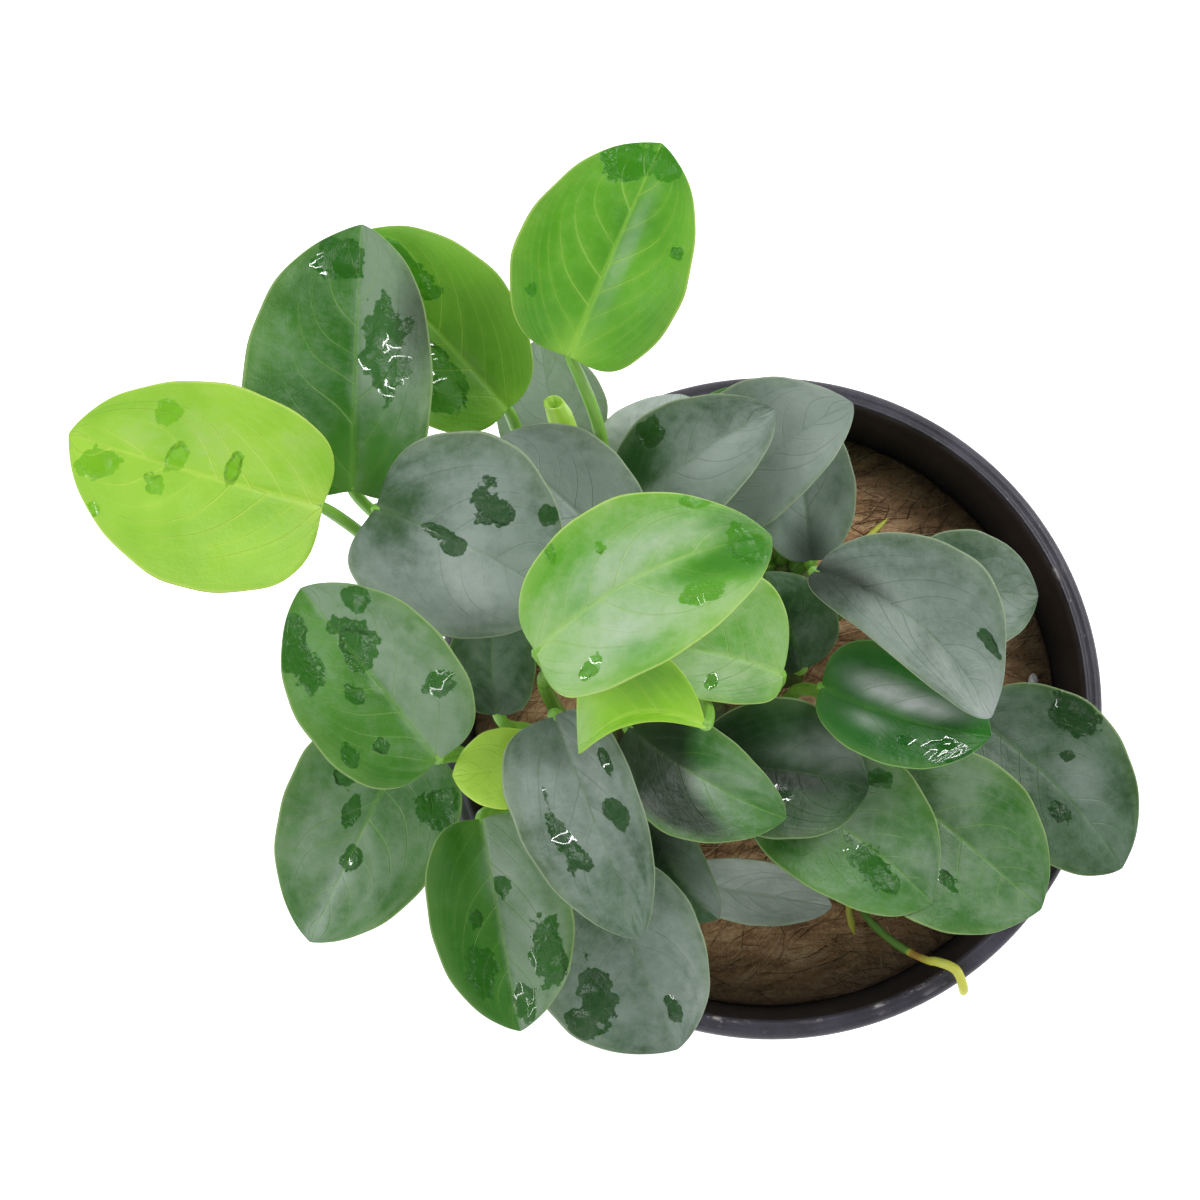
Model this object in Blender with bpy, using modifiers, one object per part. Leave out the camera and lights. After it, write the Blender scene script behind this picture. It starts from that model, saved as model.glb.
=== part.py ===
"""Potted Anubias barteri: a nursery pot, its growing medium, a creeping rhizome and its leaves.

The pot stands on the ground plane with its axis on the world origin. +X points to the right
of the plant as seen from above and +Y points to its back. Each leaf is one solid, blade and
petiole together, as it grew.
"""
import math
from dataclasses import dataclass

import bmesh
import bpy
import numpy as np

MM = 0.001
GAP = 0.3

OBJECT_NAME = "anubias_barteri"

# Pot, in millimetres
POT_HEIGHT = 100.0
POT_RIM_RADIUS = 72.5
POT_LIP_WIDTH = 4.2
POT_LIP_DEPTH = 7.0
POT_LIP_ROUND = 1.3
POT_WALL = 1.4
POT_FLOOR = 2.0
POT_FOOT_RADIUS = 57.0
POT_FOOT_ROUND = 2.0
POT_STEPS = 36
DRAIN_COUNT = 8
DRAIN_RADIUS = 4.0
DRAIN_RING_RADIUS = 42.0

# Growing medium, in millimetres
MEDIUM_DEPTH_BELOW_RIM = 21.0
MEDIUM_DOME = 1.5
MEDIUM_RINGS = 4
MEDIUM_STEPS = 28

# Leaves, in millimetres
BLADE_THICKNESS = 0.8
BLADE_ROWS = 7
BLADE_COLUMNS = 4
LOBE_REACH = 0.75
LOBE_SCALE = 1.6
LOBE_SPREAD = 1.5
CUP_POWER = 1.6
PETIOLE_FOOT_RADIUS = 1.8
FOOT_LEAN = 45.0
FOOT_CLEARANCE = 1.1
PETIOLE_NECK_RADIUS = 1.25
PETIOLE_END_RADIUS = 0.6
PETIOLE_SAMPLES = 5
PETIOLE_RISE = 0.35
PETIOLE_REACH = 0.3

# A petiole ends under the midrib: fractions of the blade's length, and its radius at each one
RIB_STATIONS = ((0.0, PETIOLE_NECK_RADIUS), (0.25, 1.0), (0.375, PETIOLE_END_RADIUS))
RIB_SINK = 0.6

# How a petiole arrives at its blade: outward, along the blade and upward
ARRIVE_OUT = 0.5
ARRIVE_ALONG = 0.25
ARRIVE_UP = 0.75

# Rhizome, in millimetres
RHIZOME_RADIUS = 5.0
RHIZOME_TAPER = 0.35
RHIZOME_SAMPLES_PER_SPAN = 3
KNOB_HEIGHT = 0.07
KNOB_PITCH = 46.0

STEM_SAMPLES_PER_SPAN = 2

# Colour, roughness and metallic value of each material
MATERIALS = {
    "pot_plastic": ((0.018, 0.017, 0.020), 0.45, 0.0),
    "coir": ((0.115, 0.062, 0.028), 0.95, 0.0),
    "leaf_lime": ((0.300, 0.600, 0.050), 0.35, 0.0),
    "leaf_fresh": ((0.110, 0.360, 0.050), 0.35, 0.0),
    "leaf_green": ((0.060, 0.200, 0.050), 0.35, 0.0),
    "leaf_dark": ((0.030, 0.100, 0.035), 0.30, 0.0),
    "leaf_slate": ((0.090, 0.130, 0.110), 0.30, 0.0),
    "stem_green": ((0.130, 0.300, 0.050), 0.45, 0.0),
    "root_yellow": ((0.620, 0.560, 0.120), 0.55, 0.0),
}


@dataclass(frozen=True)
class Habit:
    """A blade's outline: full below 1 sets the widest place nearer the base, lobe is how far the
    rounded lobes reach behind the base as a share of the length and point draws out the tip."""

    full: float
    lobe: float
    point: float


HEART = Habit(full=0.85, lobe=0.13, point=1.4)
BROAD = Habit(full=0.85, lobe=0.07, point=1.4)
ROUND = Habit(full=0.95, lobe=0.09, point=1.2)
OVAL = Habit(full=0.95, lobe=0.05, point=1.4)
LONG = Habit(full=0.75, lobe=0.04, point=1.4)


@dataclass
class Leaf:
    """One leaf: where its blade lies, how the blade is shaped and where its petiole starts.

    habit is the outline, base and tip are the ends of the midrib and width is the full width
    of the blade. lean widens the left half and narrows the right one. roll turns the blade
    about its midrib, in degrees. arch lifts the middle, cup lifts the margins and sweep bows
    the midrib to its left. foot is a rhizome branch, a fraction of its length and a side from
    -1 to 1, and bow pushes the petiole's upper part aside.
    """

    name: str
    material: str
    habit: Habit
    base: tuple
    tip: tuple
    width: float
    foot: tuple
    lean: float = 0.0
    sweep: float = 0.0
    roll: float = 0.0
    arch: float = 3.0
    cup: float = 2.5
    bow: tuple = (0.0, 0.0)


# Rhizome branches as plan points, each one starting beside the main branch
BRANCHES = {
    "main": [(-52, -22), (-45, -13), (-34, -5), (-18, -2), (0, -6), (18, -5), (34, 2)],
    "back": [(-36, 6), (-42, 15), (-42, 28), (-34, 38), (-22, 42)],
    "front": [(-21, -12), (-24, -22), (-31, -32), (-30, -44)],
    "right": [(2, 5), (7, 14), (8, 25), (2, 34)],
}

LEAVES = [
    Leaf("leaf_far_left", "leaf_lime", BROAD, (-92, 33, 158), (-141, 46, 166), 41,
         ("back", 0.20, 0.9), lean=0.1, sweep=1, arch=3),
    Leaf("leaf_top_left", "leaf_green", HEART, (-87, 38, 148), (-85, 91, 156), 38,
         ("back", 0.46, 0.9), lean=0.15, cup=5),
    Leaf("leaf_top_left_behind", "leaf_fresh", OVAL, (-56, 57, 138), (-89, 91, 146), 35,
         ("back", 0.58, 0.9), lean=0.05),
    Leaf("leaf_top", "leaf_fresh", BROAD, (-43, 61, 168), (-25, 101, 178), 34,
         ("back", 0.71, 0.2), lean=0.05, bow=(14, -9)),
    Leaf("leaf_behind_top", "leaf_slate", BROAD, (-46, 52, 108), (-50, 76, 120), 24,
         ("back", 0.88, 0.9)),
    Leaf("leaf_left_round", "leaf_slate", HEART, (-81, 32, 162), (-45, 14, 160), 41,
         ("back", 0.34, 0.9), lean=0.05, sweep=1),
    Leaf("leaf_upper_centre", "leaf_slate", ROUND, (-32, 25, 144), (-58, 48, 149), 28,
         ("back", 0.42, -0.9)),
    Leaf("leaf_upper_right", "leaf_slate", LONG, (-30, 37, 133), (-1, 57, 137), 25,
         ("back", 0.66, -0.9), sweep=1, cup=4),
    Leaf("leaf_upper_folded", "leaf_slate", LONG, (-11, 39, 123), (16, 60, 129), 28,
         ("right", 0.97, -0.3), lean=0.2, sweep=2, cup=4),
    Leaf("leaf_upper_behind", "leaf_slate", OVAL, (8, 29, 114), (4, 62, 117), 22,
         ("right", 0.85, -0.8)),
    Leaf("leaf_back_pale", "leaf_slate", OVAL, (-22, 46, 117), (-20, 63, 124), 29,
         ("back", 0.97, -0.2), lean=0.1),
    Leaf("leaf_back_green", "leaf_green", OVAL, (-10, 45, 107), (-8, 67, 114), 22,
         ("right", 0.99, 0.9)),
    Leaf("leaf_centre", "leaf_lime", BROAD, (-49, 1, 182), (-5, 22, 188), 32,
         ("main", 0.24, 0.9), lean=-0.05, sweep=4, bow=(13, 0)),
    Leaf("leaf_centre_under", "leaf_lime", ROUND, (-1, 0, 155), (-29, 5, 160), 27,
         ("right", 0.04, 0.5), lean=-0.3, sweep=-1, bow=(-6, -5)),
    Leaf("leaf_young_centre", "leaf_lime", OVAL, (-17, -12, 174), (-41, -17, 169), 17,
         ("main", 0.46, 0.3), lean=-0.75, sweep=-5, cup=4, bow=(-3, 4)),
    Leaf("leaf_inner_dark", "leaf_dark", OVAL, (5, 4, 130), (-3, 23, 137), 20,
         ("right", 0.22, 0.9)),
    Leaf("leaf_right_broad", "leaf_slate", OVAL, (6, 21, 152), (41, -8, 148), 26,
         ("right", 0.55, -0.9), lean=0.3, sweep=4, roll=-12, bow=(5, 0)),
    Leaf("leaf_right_behind", "leaf_green", OVAL, (25, 22, 114), (57, 22, 110), 26,
         ("right", 0.68, -0.9)),
    Leaf("leaf_right_glossy", "leaf_dark", BROAD, (8, -1, 141), (42, -11, 140), 24,
         ("main", 0.70, 0.8), lean=0.15, sweep=-2, bow=(7, -3)),
    Leaf("leaf_far_right", "leaf_dark", BROAD, (42, -4, 112), (75, -36, 102), 33,
         ("main", 0.98, 0.0), lean=0.05, sweep=2),
    Leaf("leaf_lower_right", "leaf_green", BROAD, (24, -18, 118), (56, -45, 111), 37,
         ("main", 0.90, -0.9), lean=-0.1, arch=2),
    Leaf("leaf_lower_green", "leaf_green", BROAD, (-3, -20, 125), (32, -44, 119), 32,
         ("main", 0.76, -0.9), lean=0.1, sweep=2),
    Leaf("leaf_lower_dark", "leaf_dark", OVAL, (-17, -16, 134), (18, -21, 131), 29,
         ("main", 0.62, -0.9), sweep=1),
    Leaf("leaf_lower_centre", "leaf_green", LONG, (-31, -10, 152), (0, -28, 146), 23,
         ("main", 0.50, -0.9), lean=-0.15, sweep=-2),
    Leaf("leaf_lower_left", "leaf_slate", LONG, (-46, -9, 160), (-29, -52, 155), 25,
         ("main", 0.24, -0.6), lean=-0.2, cup=4),
    Leaf("leaf_left_lower", "leaf_green", BROAD, (-68, -18, 168), (-94, 14, 176), 32,
         ("main", 0.12, 0.3), lean=0.05, bow=(-12, 7)),
    Leaf("leaf_far_lower_left", "leaf_green", LONG, (-77, -11, 128), (-97, -52, 121), 36,
         ("main", 0.02, 0.9)),
    Leaf("leaf_bottom_left", "leaf_dark", BROAD, (-61, -28, 142), (-53, -70, 134), 29,
         ("main", 0.03, -0.6), lean=0.05),
    Leaf("leaf_bottom", "leaf_slate", BROAD, (-37, -38, 128), (-21, -74, 118), 36,
         ("front", 0.90, -0.8), lean=-0.2),
    Leaf("leaf_inner_left", "leaf_dark", OVAL, (-58, -6, 134), (-58, 17, 142), 18,
         ("main", 0.18, 0.9), sweep=1),
    Leaf("leaf_inner_bottom", "leaf_dark", LONG, (-28, -24, 118), (-12, -47, 109), 18,
         ("front", 0.50, 0.8), lean=-0.2, sweep=-2),
    Leaf("leaf_low_narrow", "leaf_dark", BROAD, (-18, -39, 97), (13, -44, 98), 14,
         ("front", 0.80, 0.9), cup=1.5),
    Leaf("leaf_young_left", "leaf_lime", OVAL, (-46, -18, 152), (-66, -20, 153), 16,
         ("main", 0.16, -0.9)),
]

# Loose stems and roots: material, radii along the way and points chosen along the route
STEMS = {
    "young_leaf_rolled": ("stem_green", (1.3, 1.3, 1.3, 1.3, 1.8, 2.6, 2.6, 0.5),
                          [(-34.5, 43.5, 90), (-37, 44.5, 98), (-41, 45, 110), (-43, 47, 122),
                           (-43.5, 49.5, 131), (-44, 52, 137), (-45.3, 54.8, 141.5), (-46.5, 57, 144)]),
    "root_over_rim": ("root_yellow", (0.8, 0.8, 0.8, 0.85, 0.85, 0.85, 1.0, 1.05, 1.05, 0.9),
                      [(12, -13.5, 84.5), (13, -24, 83), (17.5, -37, 84), (22, -46.6, 88),
                       (28, -52.5, 93), (33, -55.5, 97.5), (35.3, -56, 100.6), (38.9, -57.6, 102.4),
                       (40.5, -61, 101.8), (41, -63, 98.5)]),
    "root_front": ("root_yellow", (0.7, 0.8, 0.8),
                   [(18, -41, 82.5), (18.3, -45.5, 82.2), (19.3, -49.8, 81.8)]),
    "root_back": ("root_yellow", (0.6, 0.7, 0.7), [(18, 34, 84), (23, 38.7, 83), (28, 43.5, 82)]),
}


def rest_scene() -> None:
    """Remove every object of the open file."""
    for item in list(bpy.data.objects):
        bpy.data.objects.remove(item, do_unlink=True)


def new_collection(name: str) -> bpy.types.Collection:
    """Return a new collection linked to the scene."""
    collection = bpy.data.collections.new(name)
    bpy.context.scene.collection.children.link(collection)
    return collection


def material(name: str) -> bpy.types.Material:
    """Return the named Principled material, made once."""
    if name in bpy.data.materials:
        return bpy.data.materials[name]
    colour, roughness, metallic = MATERIALS[name]
    result = bpy.data.materials.new(name)
    result.use_nodes = True
    shader = result.node_tree.nodes["Principled BSDF"]
    shader.inputs["Base Color"].default_value = (*colour, 1.0)
    shader.inputs["Roughness"].default_value = roughness
    shader.inputs["Metallic"].default_value = metallic
    return result


def new_object(name: str, mesh: bpy.types.Mesh, material_name: str,
               collection: bpy.types.Collection) -> bpy.types.Object:
    """Return a new object for the mesh, with its material, in the collection."""
    result = bpy.data.objects.new(name, mesh)
    result.data.materials.append(material(material_name))
    collection.objects.link(result)
    return result


def make_guide(item: bpy.types.Object) -> None:
    """Mark an object that only cuts or joins another one."""
    item.hide_render = True
    item.display_type = "WIRE"


def arc(centre: tuple, radius: float, start: float, end: float, count: int) -> list:
    """Return count + 1 points on an arc in the profile plane, angles in degrees."""
    points = []
    for index in range(count + 1):
        angle = math.radians(start + (end - start) * index / count)
        points.append((centre[0] + radius * math.cos(angle), centre[1] + radius * math.sin(angle)))
    return points


def turned(name: str, profile: list, steps: int, material_name: str,
           collection: bpy.types.Collection) -> bpy.types.Object:
    """Turn an open profile, both ends on the axis, into a closed solid."""
    mesh = bpy.data.meshes.new(name)
    vertices = [(x * MM, 0.0, z * MM) for x, z in profile]
    edges = [(index, index + 1) for index in range(len(profile) - 1)]
    mesh.from_pydata(vertices, edges, [])
    result = new_object(name, mesh, material_name, collection)
    screw = result.modifiers.new("turn", "SCREW")
    screw.axis = "Z"
    screw.angle = math.tau
    screw.steps = steps
    screw.render_steps = steps
    screw.use_merge_vertices = True
    screw.merge_threshold = 0.00005
    screw.use_smooth_shade = True
    return result


def outer_radius(height: float) -> float:
    """Return the radius of the pot's outer wall at a height."""
    top = POT_RIM_RADIUS - POT_LIP_WIDTH + POT_WALL
    return POT_FOOT_RADIUS + (top - POT_FOOT_RADIUS) * height / POT_HEIGHT


def make_pot(parts: bpy.types.Collection, guides: bpy.types.Collection) -> None:
    """Make the tapered pot with its rolled lip, flat foot and drain holes."""
    lip_inner = POT_RIM_RADIUS - POT_LIP_WIDTH
    lip_top = POT_HEIGHT - POT_LIP_ROUND
    lip_bottom = POT_HEIGHT - POT_LIP_DEPTH
    foot_centre = (POT_FOOT_RADIUS - POT_FOOT_ROUND, POT_FOOT_ROUND)
    profile = [(0.0, POT_FLOOR), (outer_radius(POT_FLOOR) - POT_WALL, POT_FLOOR)]
    profile += [(lip_inner, lip_bottom)]
    profile += arc((lip_inner + POT_LIP_ROUND, lip_top), POT_LIP_ROUND, 180, 90, 2)
    profile += arc((POT_RIM_RADIUS - POT_LIP_ROUND, lip_top), POT_LIP_ROUND, 90, 0, 2)
    profile += [(POT_RIM_RADIUS, lip_bottom), (outer_radius(lip_bottom), lip_bottom)]
    profile += arc(foot_centre, POT_FOOT_ROUND, 0, -90, 2)
    profile += [(0.0, 0.0)]
    pot = turned("pot", profile, POT_STEPS, "pot_plastic", parts)
    for index in range(DRAIN_COUNT):
        angle = math.tau * (index + 0.5) / DRAIN_COUNT
        place = (DRAIN_RING_RADIUS * math.cos(angle) * MM, DRAIN_RING_RADIUS * math.sin(angle) * MM, 0.0)
        mesh = bpy.data.meshes.new(f"drain_{index}")
        shape = bmesh.new()
        bmesh.ops.create_cone(shape, cap_ends=True, segments=12, radius1=DRAIN_RADIUS * MM,
                              radius2=DRAIN_RADIUS * MM, depth=4 * POT_FLOOR * MM)
        shape.to_mesh(mesh)
        shape.free()
        cutter = bpy.data.objects.new(f"drain_{index}", mesh)
        cutter.location = place
        guides.objects.link(cutter)
        make_guide(cutter)
        cut = pot.modifiers.new(f"drain_{index}", "BOOLEAN")
        cut.operation = "DIFFERENCE"
        cut.object = cutter


def medium_top(x: float, y: float) -> float:
    """Return the height of the medium's gently domed top at a plan place."""
    share = math.hypot(x, y) / POT_FOOT_RADIUS
    return POT_HEIGHT - MEDIUM_DEPTH_BELOW_RIM + MEDIUM_DOME * (1.0 - share * share)


def make_medium(parts: bpy.types.Collection) -> None:
    """Make the block of growing medium that fills the pot."""
    floor = POT_FLOOR + GAP
    edge_height = POT_HEIGHT - MEDIUM_DEPTH_BELOW_RIM
    edge = outer_radius(edge_height) - POT_WALL - GAP
    foot = outer_radius(floor) - POT_WALL - GAP
    profile = []
    for index in range(MEDIUM_RINGS + 1):
        x = edge * index / MEDIUM_RINGS
        profile.append((x, medium_top(x, 0.0)))
    profile += [(foot, floor), (0.0, floor)]
    turned("growing_medium", profile, MEDIUM_STEPS, "coir", parts)


def smooth_path(points: list, samples: int) -> np.ndarray:
    """Return a Catmull-Rom curve through the points, samples to each span."""
    known = np.array(points, float)
    known = np.vstack([2 * known[0] - known[1], known, 2 * known[-1] - known[-2]])
    rows = []
    for index in range(1, len(known) - 2):
        p0, p1, p2, p3 = known[index - 1:index + 3]
        for step in range(samples):
            t = step / samples
            rows.append(0.5 * (2 * p1 + (p2 - p0) * t + (2 * p0 - 5 * p1 + 4 * p2 - p3) * t ** 2
                               + (3 * p1 - p0 - 3 * p2 + p3) * t ** 3))
    rows.append(known[-2])
    return np.array(rows)


def tube_mesh(name: str, points: np.ndarray, radii: list, resolution: int) -> bpy.types.Mesh:
    """Return the closed mesh of a bevelled curve with filled caps, sizes in millimetres."""
    curve = bpy.data.curves.new(name, "CURVE")
    curve.dimensions = "3D"
    curve.bevel_depth = MM
    curve.bevel_resolution = resolution
    curve.use_fill_caps = True
    spline = curve.splines.new("POLY")
    spline.points.add(len(points) - 1)
    for spot, point, radius in zip(spline.points, points, radii):
        spot.co = (*(point * MM), 1.0)
        spot.radius = radius
    holder = bpy.data.objects.new(name, curve)
    bpy.context.scene.collection.objects.link(holder)
    graph = bpy.context.evaluated_depsgraph_get()
    mesh = bpy.data.meshes.new_from_object(holder.evaluated_get(graph))
    mesh.transform(holder.matrix_world)
    bpy.data.objects.remove(holder, do_unlink=True)
    shape = bmesh.new()
    shape.from_mesh(mesh)
    bmesh.ops.remove_doubles(shape, verts=shape.verts, dist=0.00001)
    bmesh.ops.recalc_face_normals(shape, faces=shape.faces)
    shape.to_mesh(mesh)
    shape.free()
    mesh.name = name
    return mesh


def rhizome_radius(share: float) -> float:
    """Return the knobbly radius of a rhizome branch at a fraction of its length."""
    ends = 1.0 - RHIZOME_TAPER * abs(2.0 * share - 1.0) ** 4
    knobs = 1.0 + KNOB_HEIGHT * (math.cos(share * KNOB_PITCH) - 1.0)
    return RHIZOME_RADIUS * ends * knobs


def branch_path(name: str) -> np.ndarray:
    """Return the centre line of a rhizome branch, resting on the medium."""
    plan = smooth_path(BRANCHES[name], RHIZOME_SAMPLES_PER_SPAN)
    rows = []
    for x, y in plan:
        rows.append((x, y, medium_top(x, y) + RHIZOME_RADIUS + 2 * GAP))
    return np.array(rows)


def make_rhizome(parts: bpy.types.Collection) -> None:
    """Make the rhizome, split at its forks."""
    for name in BRANCHES:
        path = branch_path(name)
        radii = [rhizome_radius(index / (len(path) - 1)) for index in range(len(path))]
        mesh = tube_mesh(f"rhizome_{name}", path, radii, 1)
        item = new_object(f"rhizome_{name}", mesh, "stem_green", parts)
        item.data.shade_smooth()


def foot_point(foot: tuple) -> tuple:
    """Return where a petiole starts, just off the rhizome's upper side, and which way."""
    branch, share, side = foot
    path = branch_path(branch)
    place = share * (len(path) - 1)
    index = min(int(place), len(path) - 2)
    spot = path[index] + (path[index + 1] - path[index]) * (place - index)
    along = path[index + 1] - path[index]
    along /= np.linalg.norm(along)
    left = np.cross((0.0, 0.0, 1.0), along)
    angle = math.radians(FOOT_LEAN * side)
    outward = left * math.sin(angle) + np.array((0.0, 0.0, 1.0)) * math.cos(angle)
    return spot + outward * (rhizome_radius(share) + FOOT_CLEARANCE), outward


def blade_point(leaf: Leaf, u: float, v: float) -> tuple:
    """Return the place on a blade and its upward normal, u from base to tip, v from right to left."""
    base = np.array(leaf.base, float)
    axis = np.array(leaf.tip, float) - base
    length = np.linalg.norm(axis)
    axis /= length
    side = np.cross((0.0, 0.0, 1.0), axis)
    side /= np.linalg.norm(side)
    normal = np.cross(axis, side)
    turn = math.radians(leaf.roll)
    side, normal = (side * math.cos(turn) + normal * math.sin(turn),
                    normal * math.cos(turn) - side * math.sin(turn))
    phi = math.pi * u
    middle = length * (1.0 - math.cos(phi)) / 2.0
    lobe = LOBE_SCALE * leaf.habit.lobe * length * math.sin(phi) * math.exp(-(phi / LOBE_REACH) ** 2)
    sharp = 1.0 + (leaf.habit.point - 1.0) * u ** 3
    half = leaf.width / 2.0 * max(math.sin(math.pi * u ** leaf.habit.full), 0.0) ** sharp
    half *= 1.0 + leaf.lean * math.copysign(1.0, v)
    x = middle - lobe * abs(v) ** LOBE_SPREAD
    share = x / length
    y = half * v + 4.0 * leaf.sweep * share * (1.0 - share)
    spread = abs(half * v) * 2.0 / leaf.width
    z = 4.0 * leaf.arch * share * (1.0 - share) + leaf.cup * spread ** CUP_POWER
    return base + x * axis + y * side + z * normal, normal


def blade_mesh(leaf: Leaf) -> bpy.types.Mesh:
    """Return the open surface of a blade, a grid laid along the midrib."""
    shape = bmesh.new()
    bmesh.ops.create_grid(shape, x_segments=BLADE_ROWS, y_segments=BLADE_COLUMNS, size=0.5)
    for vertex in shape.verts:
        u = min(max(vertex.co.x + 0.5, 0.0), 1.0)
        v = vertex.co.y * 2.0
        vertex.co = blade_point(leaf, u, v)[0] * MM
    bmesh.ops.remove_doubles(shape, verts=shape.verts, dist=0.00001)
    mesh = bpy.data.meshes.new(leaf.name)
    shape.to_mesh(mesh)
    shape.free()
    return mesh


def petiole_path(leaf: Leaf) -> tuple:
    """Return the centre line and radii of a petiole, from the rhizome to under the midrib."""
    start, outward = foot_point(leaf.foot)
    rib = []
    for u, radius in RIB_STATIONS:
        place, normal = blade_point(leaf, u, 0.0)
        rib.append((place - normal * (BLADE_THICKNESS / 2 + RIB_SINK * radius), radius))
    end = rib[0][0]
    flat = np.array((end[0] - start[0], end[1] - start[1], 0.0))
    heading = np.array((leaf.tip[0] - leaf.base[0], leaf.tip[1] - leaf.base[1], 0.0))
    heading /= np.linalg.norm(heading)
    span = np.linalg.norm(end - start)
    push = np.array((*leaf.bow, 0.0))
    arrive = ARRIVE_OUT * flat / span + ARRIVE_ALONG * heading + np.array((0.0, 0.0, ARRIVE_UP))
    arrive /= np.linalg.norm(arrive)
    near = start + PETIOLE_RISE * span * outward
    far = end - PETIOLE_REACH * span * arrive + push
    points = []
    radii = []
    for index in range(PETIOLE_SAMPLES):
        t = index / PETIOLE_SAMPLES
        s = 1.0 - t
        points.append(s ** 3 * start + 3 * s * s * t * near + 3 * s * t * t * far + t ** 3 * end)
        radii.append(PETIOLE_FOOT_RADIUS + (PETIOLE_NECK_RADIUS - PETIOLE_FOOT_RADIUS) * t ** 0.5)
    points += [place for place, _ in rib]
    radii += [radius for _, radius in rib]
    return np.array(points), radii


def make_leaf(leaf: Leaf, parts: bpy.types.Collection, guides: bpy.types.Collection) -> None:
    """Make one leaf: a solidified blade joined with its petiole."""
    item = new_object(leaf.name, blade_mesh(leaf), leaf.material, parts)
    item.data.shade_smooth()
    thicken = item.modifiers.new("thickness", "SOLIDIFY")
    thicken.thickness = BLADE_THICKNESS * MM
    thicken.offset = 0.0
    points, radii = petiole_path(leaf)
    stalk = bpy.data.objects.new(f"{leaf.name}_petiole", tube_mesh(f"{leaf.name}_petiole", points, radii, 1))
    guides.objects.link(stalk)
    make_guide(stalk)
    join = item.modifiers.new("petiole", "BOOLEAN")
    join.operation = "UNION"
    join.object = stalk


def make_stem(name: str, parts: bpy.types.Collection) -> None:
    """Make one loose stem or root as a tube of changing radius."""
    material_name, radii, points = STEMS[name]
    path = smooth_path(points, STEM_SAMPLES_PER_SPAN)
    steps = np.linspace(0.0, len(radii) - 1.0, len(path))
    widths = np.interp(steps, range(len(radii)), radii)
    item = new_object(name, tube_mesh(name, path, widths, 1), material_name, parts)
    item.data.shade_smooth()


def main() -> None:
    """Build the potted plant."""
    rest_scene()
    parts = new_collection(OBJECT_NAME)
    guides = new_collection("guides")
    make_pot(parts, guides)
    make_medium(parts)
    make_rhizome(parts)
    for leaf in LEAVES:
        make_leaf(leaf, parts, guides)
    for name in STEMS:
        make_stem(name, parts)


main()
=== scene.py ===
"""The looks of a potted Anubias barteri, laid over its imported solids.

Lengths are in millimetres up to the point where a mesh is made, and MM turns them into metres.
The pot's axis is the world Z axis, +X is the plant's right as seen from above and +Y its back.
"""
from __future__ import annotations

import logging
import math
from dataclasses import dataclass
from enum import Enum, IntEnum
from typing import Iterable, Sequence, Union

import bmesh
import bpy
import numpy as np
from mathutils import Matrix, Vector


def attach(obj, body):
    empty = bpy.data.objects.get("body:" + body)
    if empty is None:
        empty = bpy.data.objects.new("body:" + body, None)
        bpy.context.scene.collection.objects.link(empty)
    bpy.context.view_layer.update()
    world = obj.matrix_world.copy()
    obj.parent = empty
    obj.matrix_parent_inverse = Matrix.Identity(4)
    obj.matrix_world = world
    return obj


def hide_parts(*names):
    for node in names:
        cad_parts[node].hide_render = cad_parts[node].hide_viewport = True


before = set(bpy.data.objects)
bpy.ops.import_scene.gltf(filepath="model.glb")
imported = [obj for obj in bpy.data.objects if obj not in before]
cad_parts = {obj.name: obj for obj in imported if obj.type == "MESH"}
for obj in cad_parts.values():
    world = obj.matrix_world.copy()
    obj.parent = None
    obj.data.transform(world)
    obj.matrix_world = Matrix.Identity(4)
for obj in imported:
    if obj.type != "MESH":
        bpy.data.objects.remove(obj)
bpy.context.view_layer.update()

LOG = logging.getLogger("plant")
MM = 0.001
ROOT = "root"

Array = np.ndarray
Colour = tuple[float, float, float]
Span = tuple[float, float]
Place = tuple[float, float, float]
Spot = tuple[float, ...]


def tint(red: float, green: float, blue: float) -> Colour:
    """Return the linear colour of display values from 0 to 255."""
    shares = [value / 255.0 for value in (red, green, blue)]
    return tuple(s / 12.92 if s <= 0.04045 else ((s + 0.055) / 1.055) ** 2.4 for s in shares)


class Slot(Enum):
    """The record's material slots."""

    POT = "pot_plastic"
    MEDIUM = "growing_medium"
    RHIZOME = "rhizome"
    LIME = "leaf_lime"
    FRESH = "leaf_fresh"
    GREEN = "leaf_green"
    DARK = "leaf_dark"
    SLATE = "leaf_slate"
    ROOT = "root"


class Skin(Enum):
    """The finishes of the blades: one for each leaf slot and three for single leaves."""

    LIME = Slot.LIME.value
    FRESH = Slot.FRESH.value
    GREEN = Slot.GREEN.value
    DARK = Slot.DARK.value
    SLATE = Slot.SLATE.value
    PALE_LIME = "leaf_pale_lime"
    YOUNG = "leaf_young"
    GLOSSY = "leaf_glossy"


class Branch(Enum):
    """The branches of the rhizome."""

    MAIN = "main"
    BACK = "back"
    FRONT = "front"
    RIGHT = "right"


class Pattern(IntEnum):
    """The random patterns, each with its own seed."""

    MEDIUM_BROAD = 1
    MEDIUM_MIDDLE = 2
    MEDIUM_FINE = 3
    STRANDS = 4
    ROOT = 5
    STRAND_LAY = 7
    GRAIN = 9
    RHIZOME = 11
    LEAF_SWELL = 21
    LEAF_SMALL_SWELL = 22
    LEAF_DRIFT = 23
    LEAF_BROAD = 24
    LEAF_SMALL = 25
    LEAF_STREAK = 26


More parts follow.
